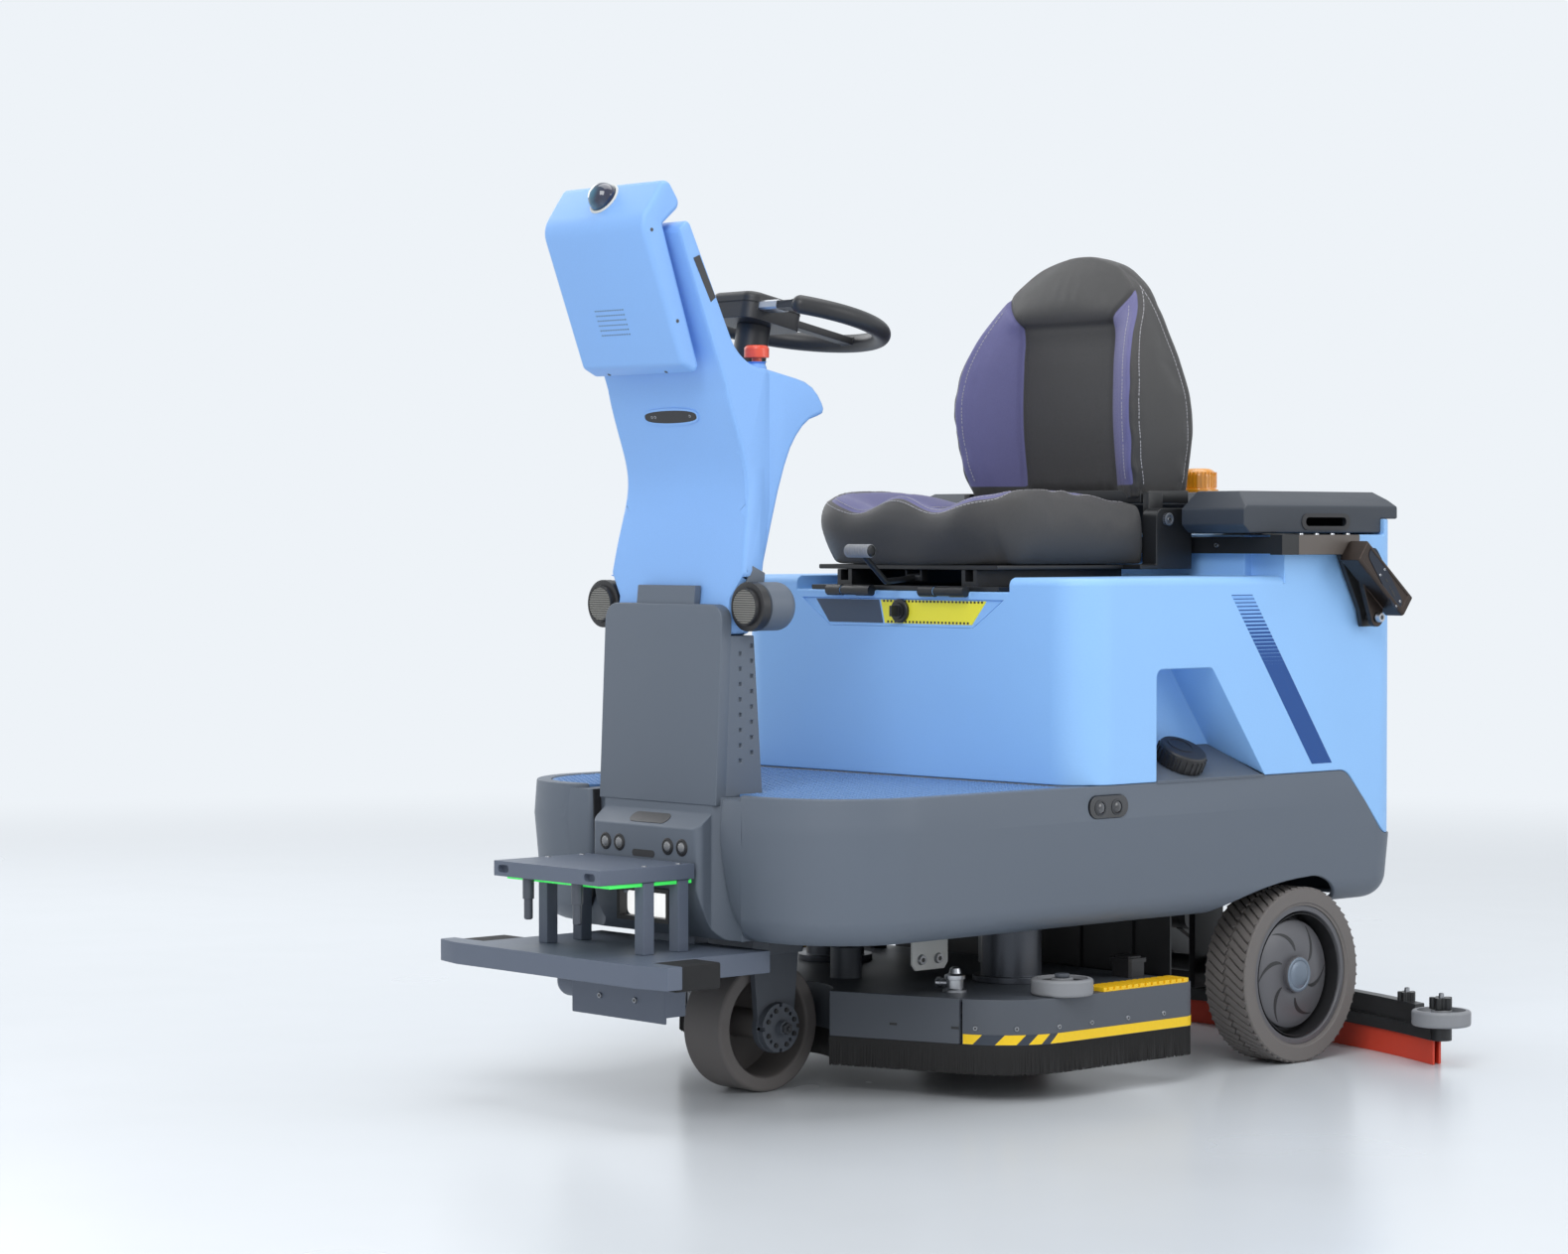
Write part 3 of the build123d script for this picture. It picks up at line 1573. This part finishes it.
def column_outline():
    """Side view of the column: swept front, sloping head plate, console with a rounded nose."""
    foot_z = panel_top_z + panel_gap
    foot_front = (panel_front_high_y + tab_thickness + panel_gap, foot_z)
    foot_back = (panel_back_y - panel_back_lean, foot_z)
    plate_low = (plate_low_y, plate_low_z)
    step = (console_step_y, console_step_z)
    console_front = (console_front_y, console_front_z)
    console_rear = (console_rear_y, console_rear_z)
    heel = (console_heel_y, console_heel_z)
    edges = [
        Spline(foot_front, *column_front_line, plate_low),
        Polyline(plate_low, (plate_high_y, plate_high_z), (column_tip_y, column_top_z), step),
        ThreePointArc(step, console_step_round, console_front),
        Line(console_front, console_rear),
        ThreePointArc(console_rear, console_nose, heel),
        Spline(heel, *column_back_line, foot_back),
        Line(foot_back, foot_front),
    ]
    return make_face(edges)


def column_plan():
    """Plan of the column: full width at the front plate, drawn in towards the console's rounded nose."""
    half = column_half_width + 1
    front_y = 2 * plate_high_y
    outline = Polygon(
        (-half, front_y),
        (half, front_y),
        (half, console_taper_y),
        (console_nose_half_width, console_nose_y),
        (-console_nose_half_width, console_nose_y),
        (-half, console_taper_y),
        align=None,
    )
    outline = fillet(outline.vertices().group_by(Axis.Y)[1], console_side_round)
    return fillet(outline.vertices().group_by(Axis.Y)[-1], console_nose_round)


def column_front():
    """Front view of the column: narrow between the pods, widest above them, waisted higher up."""
    side = [
        (column_neck_half_width, panel_top_z),
        (column_neck_half_width, pod_z + column_edge),
        (column_half_width, pod_z + pod_radius + column_edge),
        (column_waist_half_width, column_waist_z),
        (column_top_half_width, column_top_z + column_edge),
    ]
    outline = Polygon(*side, *[(-x, z) for x, z in reversed(side)], align=None)
    outline = fillet(outline.vertices().group_by(Axis.Y)[2], column_edge)
    waist = [v for v in outline.vertices() if abs(v.Y - column_waist_z) < 1]
    return fillet(waist, 4 * column_half_width)


def column_shell():
    """Blue column moulding with the head plate, the console and the stop button's seat."""
    form = across(column_outline(), -2 * column_half_width, 2 * column_half_width)
    form = form & along(column_front(), 2 * plate_high_y, 0)
    form = form & upright(column_plan(), 0, 2 * column_top_z)
    form += rod_z(estop_radius - estop_seat, console_rear_z, estop_z - panel_gap, estop_x, estop_y)
    return form - rod_z(estop_stem + running_fit, console_rear_z - estop_bore, estop_z, estop_x, estop_y)


def head_line_y(z):
    """Place along Y of the head plate's front at a height."""
    slope = (plate_high_y - plate_low_y) / (plate_high_z - plate_low_z)
    return plate_low_y + slope * (z - plate_low_z)


def head_shell():
    """Sensor head: rounded box on a narrower neck that lies on the column's front plate."""
    outline = Polygon(
        (head_front_low_y, head_low_z),
        (head_front_high_y, head_front_high_z),
        (head_top_front_y, head_top_front_z),
        (head_top_rear_y, head_top_rear_z),
        (head_line_y(plate_high_z) - head_neck, plate_high_z),
        (head_line_y(head_low_z) - head_neck, head_low_z),
        align=None,
    )
    outline = fillet(outline.vertices().sort_by(Axis.X)[0], head_front_round)
    outline = fillet(outline.vertices().sort_by(Axis.Y)[-2:], head_top_round)
    box = across(outline, -head_half_width, head_half_width)
    sides = [edge for edge in box.edges() if abs(abs(edge.center().X) - head_half_width) < 1]
    box = fillet(sides, head_side_round)
    neck_low_z = head_low_z + head_neck
    neck_high_z = plate_high_z - head_neck
    neck = side_prism(
        [
            (head_line_y(neck_low_z), neck_low_z),
            (head_line_y(neck_low_z) - 2 * head_neck, neck_low_z),
            (head_line_y(neck_high_z) - 2 * head_neck, neck_high_z),
            (head_line_y(neck_high_z), neck_high_z),
        ],
        -head_neck_half_width,
        head_neck_half_width,
    )
    return box + neck


def dome_lens():
    """Camera dome on the head's sloping top."""
    return Pos(0, dome_y, dome_z) * Sphere(dome_radius)


def pod_housings():
    """Round sensor pods beside the column, rounded at the rear, with their mounting stubs."""
    barrel_y = pod_front_y + pod_lens
    pod = rod_y(pod_radius, barrel_y + pod_barrel, pod_back_y, pod_x, pod_z)
    pod = fillet(pod.edges().group_by(Axis.Y)[-1], pod_radius / 2)
    pod += rod_y(pod_barrel_radius, barrel_y, barrel_y + pod_barrel, pod_x, pod_z)
    stub_y = pod_back_y - pod_radius
    stub = rod_x(pod_radius / 2, column_neck_half_width, pod_x, stub_y, pod_z - pod_stub_drop)
    return both_sides(pod + stub)


def pod_lenses():
    """Ribbed lenses in front of the pods."""
    lens = rod_y(pod_lens_radius, pod_front_y, pod_front_y + pod_lens, pod_x, pod_z)
    return both_sides(lens)


def sensor_platform():
    """Front shelf on four posts, with two lens holes in its front face."""
    top = platform_z + platform_thickness
    shelf = block(
        -platform_half_width, platform_half_width, platform_front_y, platform_back_y, platform_z, top
    )
    hole = SlotOverall(lens_hole_length, lens_hole_height)
    for side in (1, -1):
        place = Pos(side * lens_hole_x, platform_z + platform_thickness / 2)
        shelf -= along(place * hole, platform_front_y - 1, platform_front_y + lens_hole_depth)
        for y in (post_front_y, post_back_y):
            half = post_size / 2
            x = side * post_x
            shelf += block(x - half, x + half, y - half, y + half, bumper_z + bumper_thickness, platform_z)
    return shelf


def dock_pins():
    """Two contact pins below the platform."""
    y = platform_front_y + pin_inset
    pin = rod_z(pin_radius, platform_z - pin_length, platform_z, pin_x, y)
    pin = fillet(pin.edges().group_by(Axis.Z)[0], pin_radius / 2)
    collar = rod_z(pin_radius + pin_collar, platform_z - pin_length / 2, platform_z, pin_x, y)
    return both_sides(pin + collar)


def light_strip():
    """Lit band under the platform's front and side edges."""
    out_x = platform_half_width - strip_inset
    in_x = out_x - strip_width_lit
    front = platform_front_y + strip_front
    rear = platform_back_y - strip_inset
    band = block(-out_x, out_x, front, rear, strip_z, platform_z)
    band -= block(-in_x, in_x, front + strip_width_lit, rear, strip_z, platform_z)
    for side in (1, -1):
        for y in (post_front_y, post_back_y):
            half = post_size / 2 + panel_gap
            x = side * post_x
            band -= block(x - half, x + half, y - half, y + half, strip_z, platform_z)
    return band


def bumper_plate():
    """Bumper plate with swept wings, the bent box under it and the horn on the far side."""
    outline = [
        (bumper_half_width + bumper_wing_flare, bumper_front_y),
        (bumper_wing_x, bumper_front_y + bumper_wing_chamfer),
        (bumper_wing_x, bumper_wing_back_y),
        (bumper_half_width, bumper_wing_back_y),
        (bumper_half_width, bumper_back_y),
    ]
    outline += [(-x, y) for x, y in reversed(outline)]
    plate = plan_prism(outline, bumper_z, bumper_z + bumper_thickness)
    half = bent_box_half_width
    front = bent_box_front_y
    back = front + bent_box_depth
    low = bent_box_low_z
    inner = half - bent_box_wall
    box = block(-half, half, front, back, low, bumper_z)
    box -= block(-inner, inner, front + bent_box_wall, back, low, bumper_z - bent_box_wall)
    box += block(-half, half, front, front + bent_box_wall, low - bent_box_lip, low)
    horn = rod_x(horn_radius, horn_end_x, -half, horn_y, low + horn_rise)
    horn = fillet(horn.edges().group_by(Axis.X)[0], horn_round)
    horn_z = low + horn_rise
    bracket = Pos(horn_bracket_x, horn_y, (horn_z + bumper_z) / 2) * Box(
        horn_bracket, horn_bracket, bumper_z - horn_z
    )
    mast = block(
        -mast_half_width,
        mast_half_width,
        bumper_back_y - mast_depth,
        bumper_back_y,
        bumper_z + bumper_thickness,
        mast_top_z,
    )
    return plate + box + horn + bracket + mast


def bumper_blocks():
    """Rubber stops beside the plate, behind its wings."""
    low = bumper_z - stop_drop
    stop = block(
        bumper_half_width,
        bumper_half_width + stop_width,
        bumper_wing_back_y,
        bumper_wing_back_y + stop_length,
        low,
        low + stop_height,
    )
    return both_sides(stop)


def on_steering(part):
    """Move a piece made around Z onto the tilted steering axis, with the hub's middle at the origin."""
    return Pos(0, steering_y, hub_centre_z) * Rot(-steering_tilt, 0, 0) * part


def steering_tube():
    """Steering column tube between the console and the wheel's hub."""
    top = -hub_height / 2 - panel_gap
    length = hub_centre_z - console_rear_z
    tube = Pos(0, 0, top - length / 2) * Cylinder(steering_tube_radius, length)
    collar = Pos(0, 0, top - 0.8 * length) * Cylinder(steering_tube_radius + tube_collar, 0.4 * length)
    return on_steering(tube + collar) - across(column_outline(), -column_half_width, column_half_width)


def steering_wheel():
    """Open rim with rounded ends, spokes and a hub block."""
    ends = (-rim_open_angle, 180 + rim_open_angle)
    circle = Plane.XZ * Pos(rim_radius, 0) * Circle(rim_tube)
    rim = revolve(Rot(0, 0, ends[0]) * circle, Axis.Z, revolution_arc=ends[1] - ends[0])
    for angle in ends:
        place = Pos(rim_radius * cos(radians(angle)), rim_radius * sin(radians(angle)), 0)
        rim += place * Sphere(rim_tube)
    wheel = Pos(0, rim_offset, 0) * rim
    hub = Box(hub_width, hub_length, hub_height)
    hub = fillet(hub.edges().filter_by(Axis.Z), hub_corner)
    hub = fillet(hub.edges().group_by(Axis.Z)[-1], hub_top_round)
    end_x = rim_radius * cos(radians(rim_open_angle))
    end_y = rim_offset - rim_radius * sin(radians(rim_open_angle))
    spoke = Pos(end_x / 2, end_y, 0) * Box(end_x, spoke_width, spoke_height)
    reach = rim_offset + rim_radius
    rear = Pos(0, reach / 2, 0) * Box(spoke_width, reach, spoke_height)
    return on_steering(wheel + hub + both_sides(spoke) + rear)


def estop_button():
    """Mushroom stop button on its stem."""
    top = estop_z + estop_travel + panel_gap
    head = rod_z(estop_radius, top, top + estop_radius, estop_x, estop_y)
    head = fillet(head.edges().group_by(Axis.Z)[-1], estop_radius / 3)
    return head + rod_z(estop_stem, console_rear_z - estop_travel, top, estop_x, estop_y)


def pedal_base():
    """Two ears and a pin on the footwell floor for the drive pedal."""
    half = pedal_width / 2 + panel_gap
    ear = pedal_ear
    base = rod_x(
        hinge_pin_radius, pedal_x - half - ear, pedal_x + half + ear, pedal_heel_y, pedal_pivot_z
    )
    for x in (pedal_x - half - ear, pedal_x + half):
        base += rod_x(knuckle_radius, x, x + ear, pedal_heel_y, pedal_pivot_z)
        base += block(
            x, x + ear, pedal_heel_y - knuckle_radius, pedal_heel_y + knuckle_radius, floor_z, pedal_pivot_z
        )
    return base


def drive_pedal():
    """Ribbed foot plate that rises from its heel hinge towards the column."""
    half = pedal_width / 2
    plate = block(-half, half, -pedal_length, 0, -pedal_thickness / 2, pedal_thickness / 2)
    top = pedal_thickness / 2
    rib_half = half - pedal_rib_inset
    for index in range(pedal_ribs):
        y = -pedal_length + (index + 1) * pedal_length / (pedal_ribs + 2)
        plate += block(-rib_half, rib_half, y, y + pedal_rib_width, 0, top + pedal_rib_height)
    plate += rod_x(knuckle_radius, -half, half, 0, 0)
    plate -= rod_x(hinge_pin_radius + running_fit, -half, half, 0, 0)
    return Pos(pedal_x, pedal_heel_y, pedal_pivot_z) * Rot(-pedal_rise, 0, 0) * plate


def seat_plate():
    """Hinged base plate with two slide rails."""
    low = tray_z + panel_gap
    plate = block(-plate_half_width, plate_half_width, body_front_y + wall, plate_rear_y, low, plate_top_z)
    half = knuckle_length / 2 - panel_gap
    tongue = block(
        seat_hinge_x - half, seat_hinge_x + half, seat_hinge_y, body_front_y + 2 * wall, low, plate_top_z
    )
    tongue += rod_x(knuckle_radius, seat_hinge_x - half, seat_hinge_x + half, seat_hinge_y, seat_hinge_z)
    tongue -= rod_x(
        hinge_pin_radius + running_fit, seat_hinge_x - half, seat_hinge_x + half, seat_hinge_y, seat_hinge_z
    )
    top = pan_z - panel_gap
    edge = rail_width / 2
    rail = block(rail_x - edge, rail_x + edge, rail_front_y, plate_rear_y, plate_top_z, top)
    lip = rail_width / 4
    rail -= block(rail_x - lip, rail_x + lip, rail_front_y, plate_rear_y, plate_top_z + rail_floor, top)
    return plate + both_sides(tongue + rail)


def seat_frame():
    """Seat pan with runners in the rails, recliner blocks with pivot pins and the lever's ears."""
    pan = block(-pan_half_width, pan_half_width, rail_front_y, pan_rear_y, pan_z, pan_z + pan_thickness)
    lip = rail_width / 4 - panel_gap
    runner = block(
        rail_x - lip,
        rail_x + lip,
        rail_front_y + runner_front,
        plate_rear_y - runner_rear,
        plate_top_z + rail_floor + panel_gap,
        pan_z,
    )
    outer = recliner_x + recliner_width
    pan_top = pan_z + pan_thickness
    arm_front = recliner_front_y - recliner_arm_front
    arm = block(pan_half_width - recliner_arm_overlap, outer, arm_front, recliner_rear_y, pan_z, pan_top)
    arm -= block(0, recliner_x - 2 * back_arm, pan_rear_y + 1, recliner_rear_y, pan_z, pan_top)
    recliner = block(recliner_x, outer, recliner_front_y, recliner_rear_y, pan_z, recliner_top_z)
    recliner = fillet(recliner.edges().filter_by(Axis.X).group_by(Axis.Z)[-1], recliner_round)
    pin = rod_x(back_pin_radius, recliner_x - back_arm - panel_gap, recliner_x, back_pivot_y, back_pivot_z)
    frame = pan + both_sides(runner + arm + recliner + pin)
    for x in (lever_x - lever_half - ear_thickness, lever_x + lever_half):
        frame += block(
            x,
            x + ear_thickness,
            lever_pivot_y - ear_half,
            lever_pivot_y + ear_half,
            lever_pivot_z - ear_drop,
            pan_z,
        )
    frame += rod_x(
        hinge_pin_radius, lever_x - lever_half - ear_thickness, lever_x + lever_half + ear_thickness,
        lever_pivot_y, lever_pivot_z,
    )
    return frame


def slide_lever():
    """Slide release: bent rod from the ears under the pan to a cross grip in front of the cushion."""
    half = lever_half - panel_gap
    pivot = Vector(lever_x, lever_pivot_y, lever_pivot_z)
    knee = Vector(lever_x, cushion_front_y - lever_knee, lever_pivot_z - ear_drop)
    hand = Vector(lever_x, lever_grip_y, lever_grip_z)
    lever = rod_x(knuckle_radius, lever_x - half, lever_x + half, lever_pivot_y, lever_pivot_z)
    for start, end in ((pivot, knee), (knee, hand)):
        run = end - start
        lever += extrude(Plane(origin=start, z_dir=run) * Circle(lever_rod), run.length)
        lever += Pos(end.X, end.Y, end.Z) * Sphere(lever_rod)
    low_x = lever_x - lever_grip_half
    grip = rod_x(2 * lever_rod, low_x, lever_x + lever_grip_half, lever_grip_y, lever_grip_z)
    lever += fillet(grip.edges().filter_by(GeomType.CIRCLE), lever_rod)
    bore = hinge_pin_radius + running_fit
    return lever - rod_x(bore, lever_x - half, lever_x + half, lever_pivot_y, lever_pivot_z)


def seat_cushion():
    """Padded cushion: wide rounded front, crowned edges."""
    rear_corner = cushion_corner / 3
    plan = rounded_plan(cushion_half_width, cushion_front_y, cushion_rear_y, cushion_corner, rear_corner)
    pad = upright(plan, cushion_z, cushion_z + cushion_height)
    pad = fillet(pad.edges().group_by(Axis.Z)[-1], cushion_top_round)
    return fillet(pad.edges().group_by(Axis.Z)[0], cushion_low_round)


def back_front():
    """Front view of the backrest: waisted below, widest at the shoulders, with a rounded top."""
    side = Spline(
        (0, back_top_z),
        (back_top_half_width / 2, back_top_z - back_top_round / 4),
        (back_crown_half_width, back_crown_z - back_top_round),
        (back_mid_half_width, back_mid_z),
        (back_half_width, back_shoulder_z),
        (back_low_half_width, back_bottom_z),
        tangents=((1, 0), (-0.1, -1)),
    )
    foot = Line((-back_low_half_width, back_bottom_z), (back_low_half_width, back_bottom_z))
    return make_face([side, mirror(side, Plane.YZ), foot])


def back_side():
    """Side view of the backrest: swept front, rounded top and a rear that thickens downwards."""
    top_z = back_top_z - back_top_round
    top_mid = ((back_top_front_y + back_top_rear_y) / 2, back_top_z)
    front = Spline(
        (back_front_low_y, back_bottom_z), (back_front_y, back_shoulder_z), (back_top_front_y, top_z)
    )
    top = ThreePointArc((back_top_front_y, top_z), top_mid, (back_top_rear_y, top_z))
    rear = Spline(
        (back_top_rear_y, top_z),
        (back_rear_mid_y, back_rear_mid_z),
        (back_rear_y, back_rear_low_z),
        (back_rear_y - back_heel, back_bottom_z),
    )
    foot = Line((back_rear_y - back_heel, back_bottom_z), (back_front_low_y, back_bottom_z))
    return make_face([front, top, rear, foot])


def backrest():
    """Padded back: waisted form, hollow between the bolsters, with two arms on the recliners' pins."""
    far = 2 * back_half_width
    pad = along(back_front(), 0, 2 * back_rear_y) & across(back_side(), -far, far)
    hollow = side_prism(
        [
            (0, back_bottom_z - 1),
            (0, back_panel_top_z),
            (back_top_front_y, back_panel_top_z),
            (back_front_y + back_panel_depth + back_panel_bulge, back_shoulder_z),
            (back_front_low_y + back_panel_depth, back_bottom_z - 1),
        ],
        -back_panel_half_width,
        back_panel_half_width,
    )
    pad -= hollow
    inner = recliner_x - back_arm - panel_gap
    outer = recliner_x - panel_gap
    arm = block(
        inner,
        outer,
        back_pivot_y - back_eye,
        back_pivot_y + back_eye,
        back_pivot_z,
        back_bottom_z + back_arm_overlap,
    )
    arm += rod_x(back_eye, inner, outer, back_pivot_y, back_pivot_z)
    arm -= rod_x(back_pin_radius + running_fit, 0, recliner_x, back_pivot_y, back_pivot_z)
    return pad + both_sides(arm)


def tank_lid():
    """Tank lid: faceted ears beside the seat, hollow underside, finger slots and rear hinge arms."""
    low = tank_top_z + lid_sill
    step = tank_strip_y - lid_strip_gap
    side = side_prism(
        [
            (lid_front_y, low),
            (step, low),
            (step, lid_z),
            (lid_rear_y, lid_z),
            (lid_rear_y, lid_top_z - lid_rear_drop),
            (lid_rear_y - lid_rear_chamfer, lid_top_z),
            (lid_front_y + lid_front_chamfer, lid_top_z),
            (lid_front_y, lid_top_z - lid_front_drop),
        ],
        -lid_half_width,
        lid_half_width,
    )
    ear_rear_y = lid_front_y + lid_ear_overlap
    ear = side_prism(
        [
            (lid_ear_front_y, low + lid_ear_rise),
            (lid_ear_front_y + lid_ear_foot, low),
            (ear_rear_y, low),
            (ear_rear_y, lid_top_z),
            (lid_ear_front_y + lid_ear_slope, lid_top_z),
            (lid_ear_front_y, lid_top_z - lid_ear_drop),
        ],
        lid_ear_x,
        lid_half_width,
    )
    lid = side + both_sides(ear)
    past_x = lid_half_width + 1
    slope = front_prism(
        [
            (lid_half_width - lid_side_slope, lid_top_z + 1),
            (past_x, lid_top_z + 1),
            (past_x, lid_top_z - lid_side_drop),
        ],
        lid_ear_front_y - 1,
        lid_rear_y + 1,
    )
    lid -= both_sides(slope)
    rim = 2 * wall
    inner = lid_half_width - rim
    lid -= block(-inner, inner, lid_front_y + rim, step - rim, low - 1, lid_top_z - lid_roof)
    slot = block(
        inner - 1, past_x, lid_front_y + rim, lid_slot_rear_y, low + lid_slot_low, low + lid_slot_high
    )
    lid -= both_sides(slot)
    half = knuckle_length / 2 - panel_gap
    arm = block(
        lid_hinge_x - half,
        lid_hinge_x + half,
        lid_rear_y - lid_arm_overlap,
        lid_hinge_y,
        lid_z,
        lid_hinge_z + knuckle_radius,
    )
    arm += rod_x(knuckle_radius, lid_hinge_x - half, lid_hinge_x + half, lid_hinge_y, lid_hinge_z)
    lid += both_sides(arm)
    bore = rod_x(
        hinge_pin_radius + running_fit, lid_hinge_x - half, lid_hinge_x + half, lid_hinge_y, lid_hinge_z
    )
    return lid - both_sides(bore)


def beacon():
    """Warning beacon on the lid."""
    base_top = lid_top_z + beacon_base
    base = rod_z(beacon_radius + beacon_flange, lid_top_z, base_top, 0, beacon_y)
    lamp = rod_z(beacon_radius, base_top, lid_top_z + beacon_height, 0, beacon_y)
    return base + fillet(lamp.edges().group_by(Axis.Z)[-1], beacon_radius / 2)


def camera_bar():
    """Cross bar in front of the tank, side channels and slanted camera arms with pivot pins."""
    reach = channel_x + channel_width
    bar = block(-reach, reach, bar_y, bar_y + bar_depth, bar_z, bar_z + bar_height)
    bar_top = bar_z + bar_height
    side = block(channel_x, reach, bar_y, channel_rear_y, bar_z - channel_drop, bar_top + channel_rise)
    plate_x = channel_x + camera_arm_inset
    arm_front = channel_rear_y - camera_arm_width
    foot_z = camera_pivot_z + camera_foot_rise
    tip_z = camera_pivot_z - camera_tip_drop
    arm = side_prism(
        [
            (arm_front, bar_top),
            (arm_front, bar_z),
            (camera_pivot_y - camera_foot_half, foot_z),
            (camera_pivot_y - camera_tip_half, tip_z),
            (camera_pivot_y + camera_tip_half, tip_z),
            (camera_pivot_y + camera_foot_half, foot_z),
            (channel_rear_y, bar_top),
        ],
        plate_x,
        plate_x + camera_arm,
    )
    pin = rod_x(camera_pin, plate_x, camera_x + camera_lug, camera_pivot_y, camera_pivot_z)
    return bar + both_sides(side + arm + pin)


def side_camera(side):
    """Slanted camera box with its lug on the pivot pin and a recessed lens face."""
    box = Box(camera_width, camera_length, camera_thickness)
    box = fillet(box.edges().filter_by(Axis.Y), camera_round)
    box -= Pos(camera_width / 2, 0, 0) * Box(
        2 * camera_face_depth, camera_length - camera_face_ends, camera_thickness - camera_face_edges
    )
    x = camera_x + camera_width / 2
    camera = Pos(x, camera_y, camera_z) * Rot(-camera_slope, 0, 0) * box
    lug_x = camera_x + camera_lug
    lug = side_prism(
        [
            (camera_pivot_y - camera_eye, camera_pivot_z),
            (camera_pivot_y + camera_eye, camera_pivot_z),
            (camera_y + camera_lug_half, camera_z),
            (camera_y - camera_lug_half, camera_z),
        ],
        camera_x,
        lug_x,
    )
    lug += rod_x(camera_eye, camera_x, lug_x, camera_pivot_y, camera_pivot_z)
    camera += lug
    camera -= rod_x(camera_pin + running_fit, camera_x, lug_x, camera_pivot_y, camera_pivot_z)
    return camera if side > 0 else right_of(camera)


def recovery_tank():
    """Open-topped tank liner that hangs in the body's mouth by its flange."""
    flange_half = mouth_half_width + tank_flange
    flange_top = tank_top_z + tank_flange_height
    front = mouth_front_y + panel_gap
    rear = tank_strip_y - panel_gap
    half = mouth_half_width - panel_gap
    inner = half - tank_wall
    liner = block(-half, half, front, rear, tank_bottom_z, tank_top_z)
    liner += block(-flange_half, flange_half, front - tank_flange_front, rear, tank_top_z, flange_top)
    return liner - block(
        -inner, inner, front + tank_wall, rear - tank_wall, tank_bottom_z + tank_wall, flange_top + 1
    )


def make_parts():
    """Every sub-part by its node name."""
    parts = {
        "chassis_frame": chassis_frame(),
        "lower_hull": lower_hull() + pedal_base(),
        "fascia": fascia(),
        "footwell_mat": footwell_mat(),
        "body_shell": body_shell(),
        "column_panel": column_panel(),
        "column_shell": column_shell(),
        "head_shell": head_shell(),
        "dome_lens": dome_lens() - head_shell(),
        "sensor_windows": sensor_windows(),
        "pod_housings": pod_housings(),
        "pod_lenses": pod_lenses(),
        "front_lamp": front_lamp(),
        "sensor_platform": sensor_platform(),
        "bumper_plate": bumper_plate(),
        "bumper_blocks": bumper_blocks(),
        "dock_pins": dock_pins(),
        "light_strip": light_strip(),
        "battery_pack": battery_pack(),
        "vacuum_motor": vacuum_motor(),
        "control_unit": control_unit(),
        "recovery_tank": recovery_tank(),
        "camera_bar": camera_bar(),
        "steering_tube": steering_tube(),
        "steering_wheel": steering_wheel(),
        "estop_button": estop_button(),
        "drive_pedal": drive_pedal(),
        "key_barrel": key_barrel(),
        "fill_cap": fill_cap(),
        "tank_lid": tank_lid(),
        "beacon": beacon(),
        "steer_fork": steer_fork(),
        "drive_motor": drive_motor(),
        "front_wheel": front_wheel(),
        "deck_housing": deck_housing(),
        "deck_skirt": deck_skirt(),
        "brush_motors": brush_motors(),
        "step_strips": step_strips(),
        "squeegee_arm": squeegee_arm(),
        "squeegee_frame": squeegee_frame(),
        "squeegee_blades": squeegee_blades(),
        "seat_plate": seat_plate(),
        "seat_frame": seat_frame(),
        "seat_cushion": seat_cushion(),
        "backrest": backrest(),
        "slide_lever": slide_lever(),
    }
    for name, side in (("left", 1), ("right", -1)):
        parts[f"side_camera_{name}"] = side_camera(side)
        parts[f"rear_tyre_{name}"] = rear_tyre(side)
        parts[f"rear_rim_{name}"] = rear_rim(side)
        parts[f"brush_{name}"] = brush(side)
        parts[f"deck_roller_{name}"] = deck_roller(side)
        parts[f"squeegee_roller_{name}"] = squeegee_roller(side)
        parts[f"squeegee_caster_{name}"] = squeegee_caster(side)
    return parts


def main():
    """Write one STEP file for each sub-part."""
    os.makedirs("parts", exist_ok=True)
    for name, part in make_parts().items():
        export_step(part, f"parts/{name}.step")


if __name__ == "__main__":
    main()
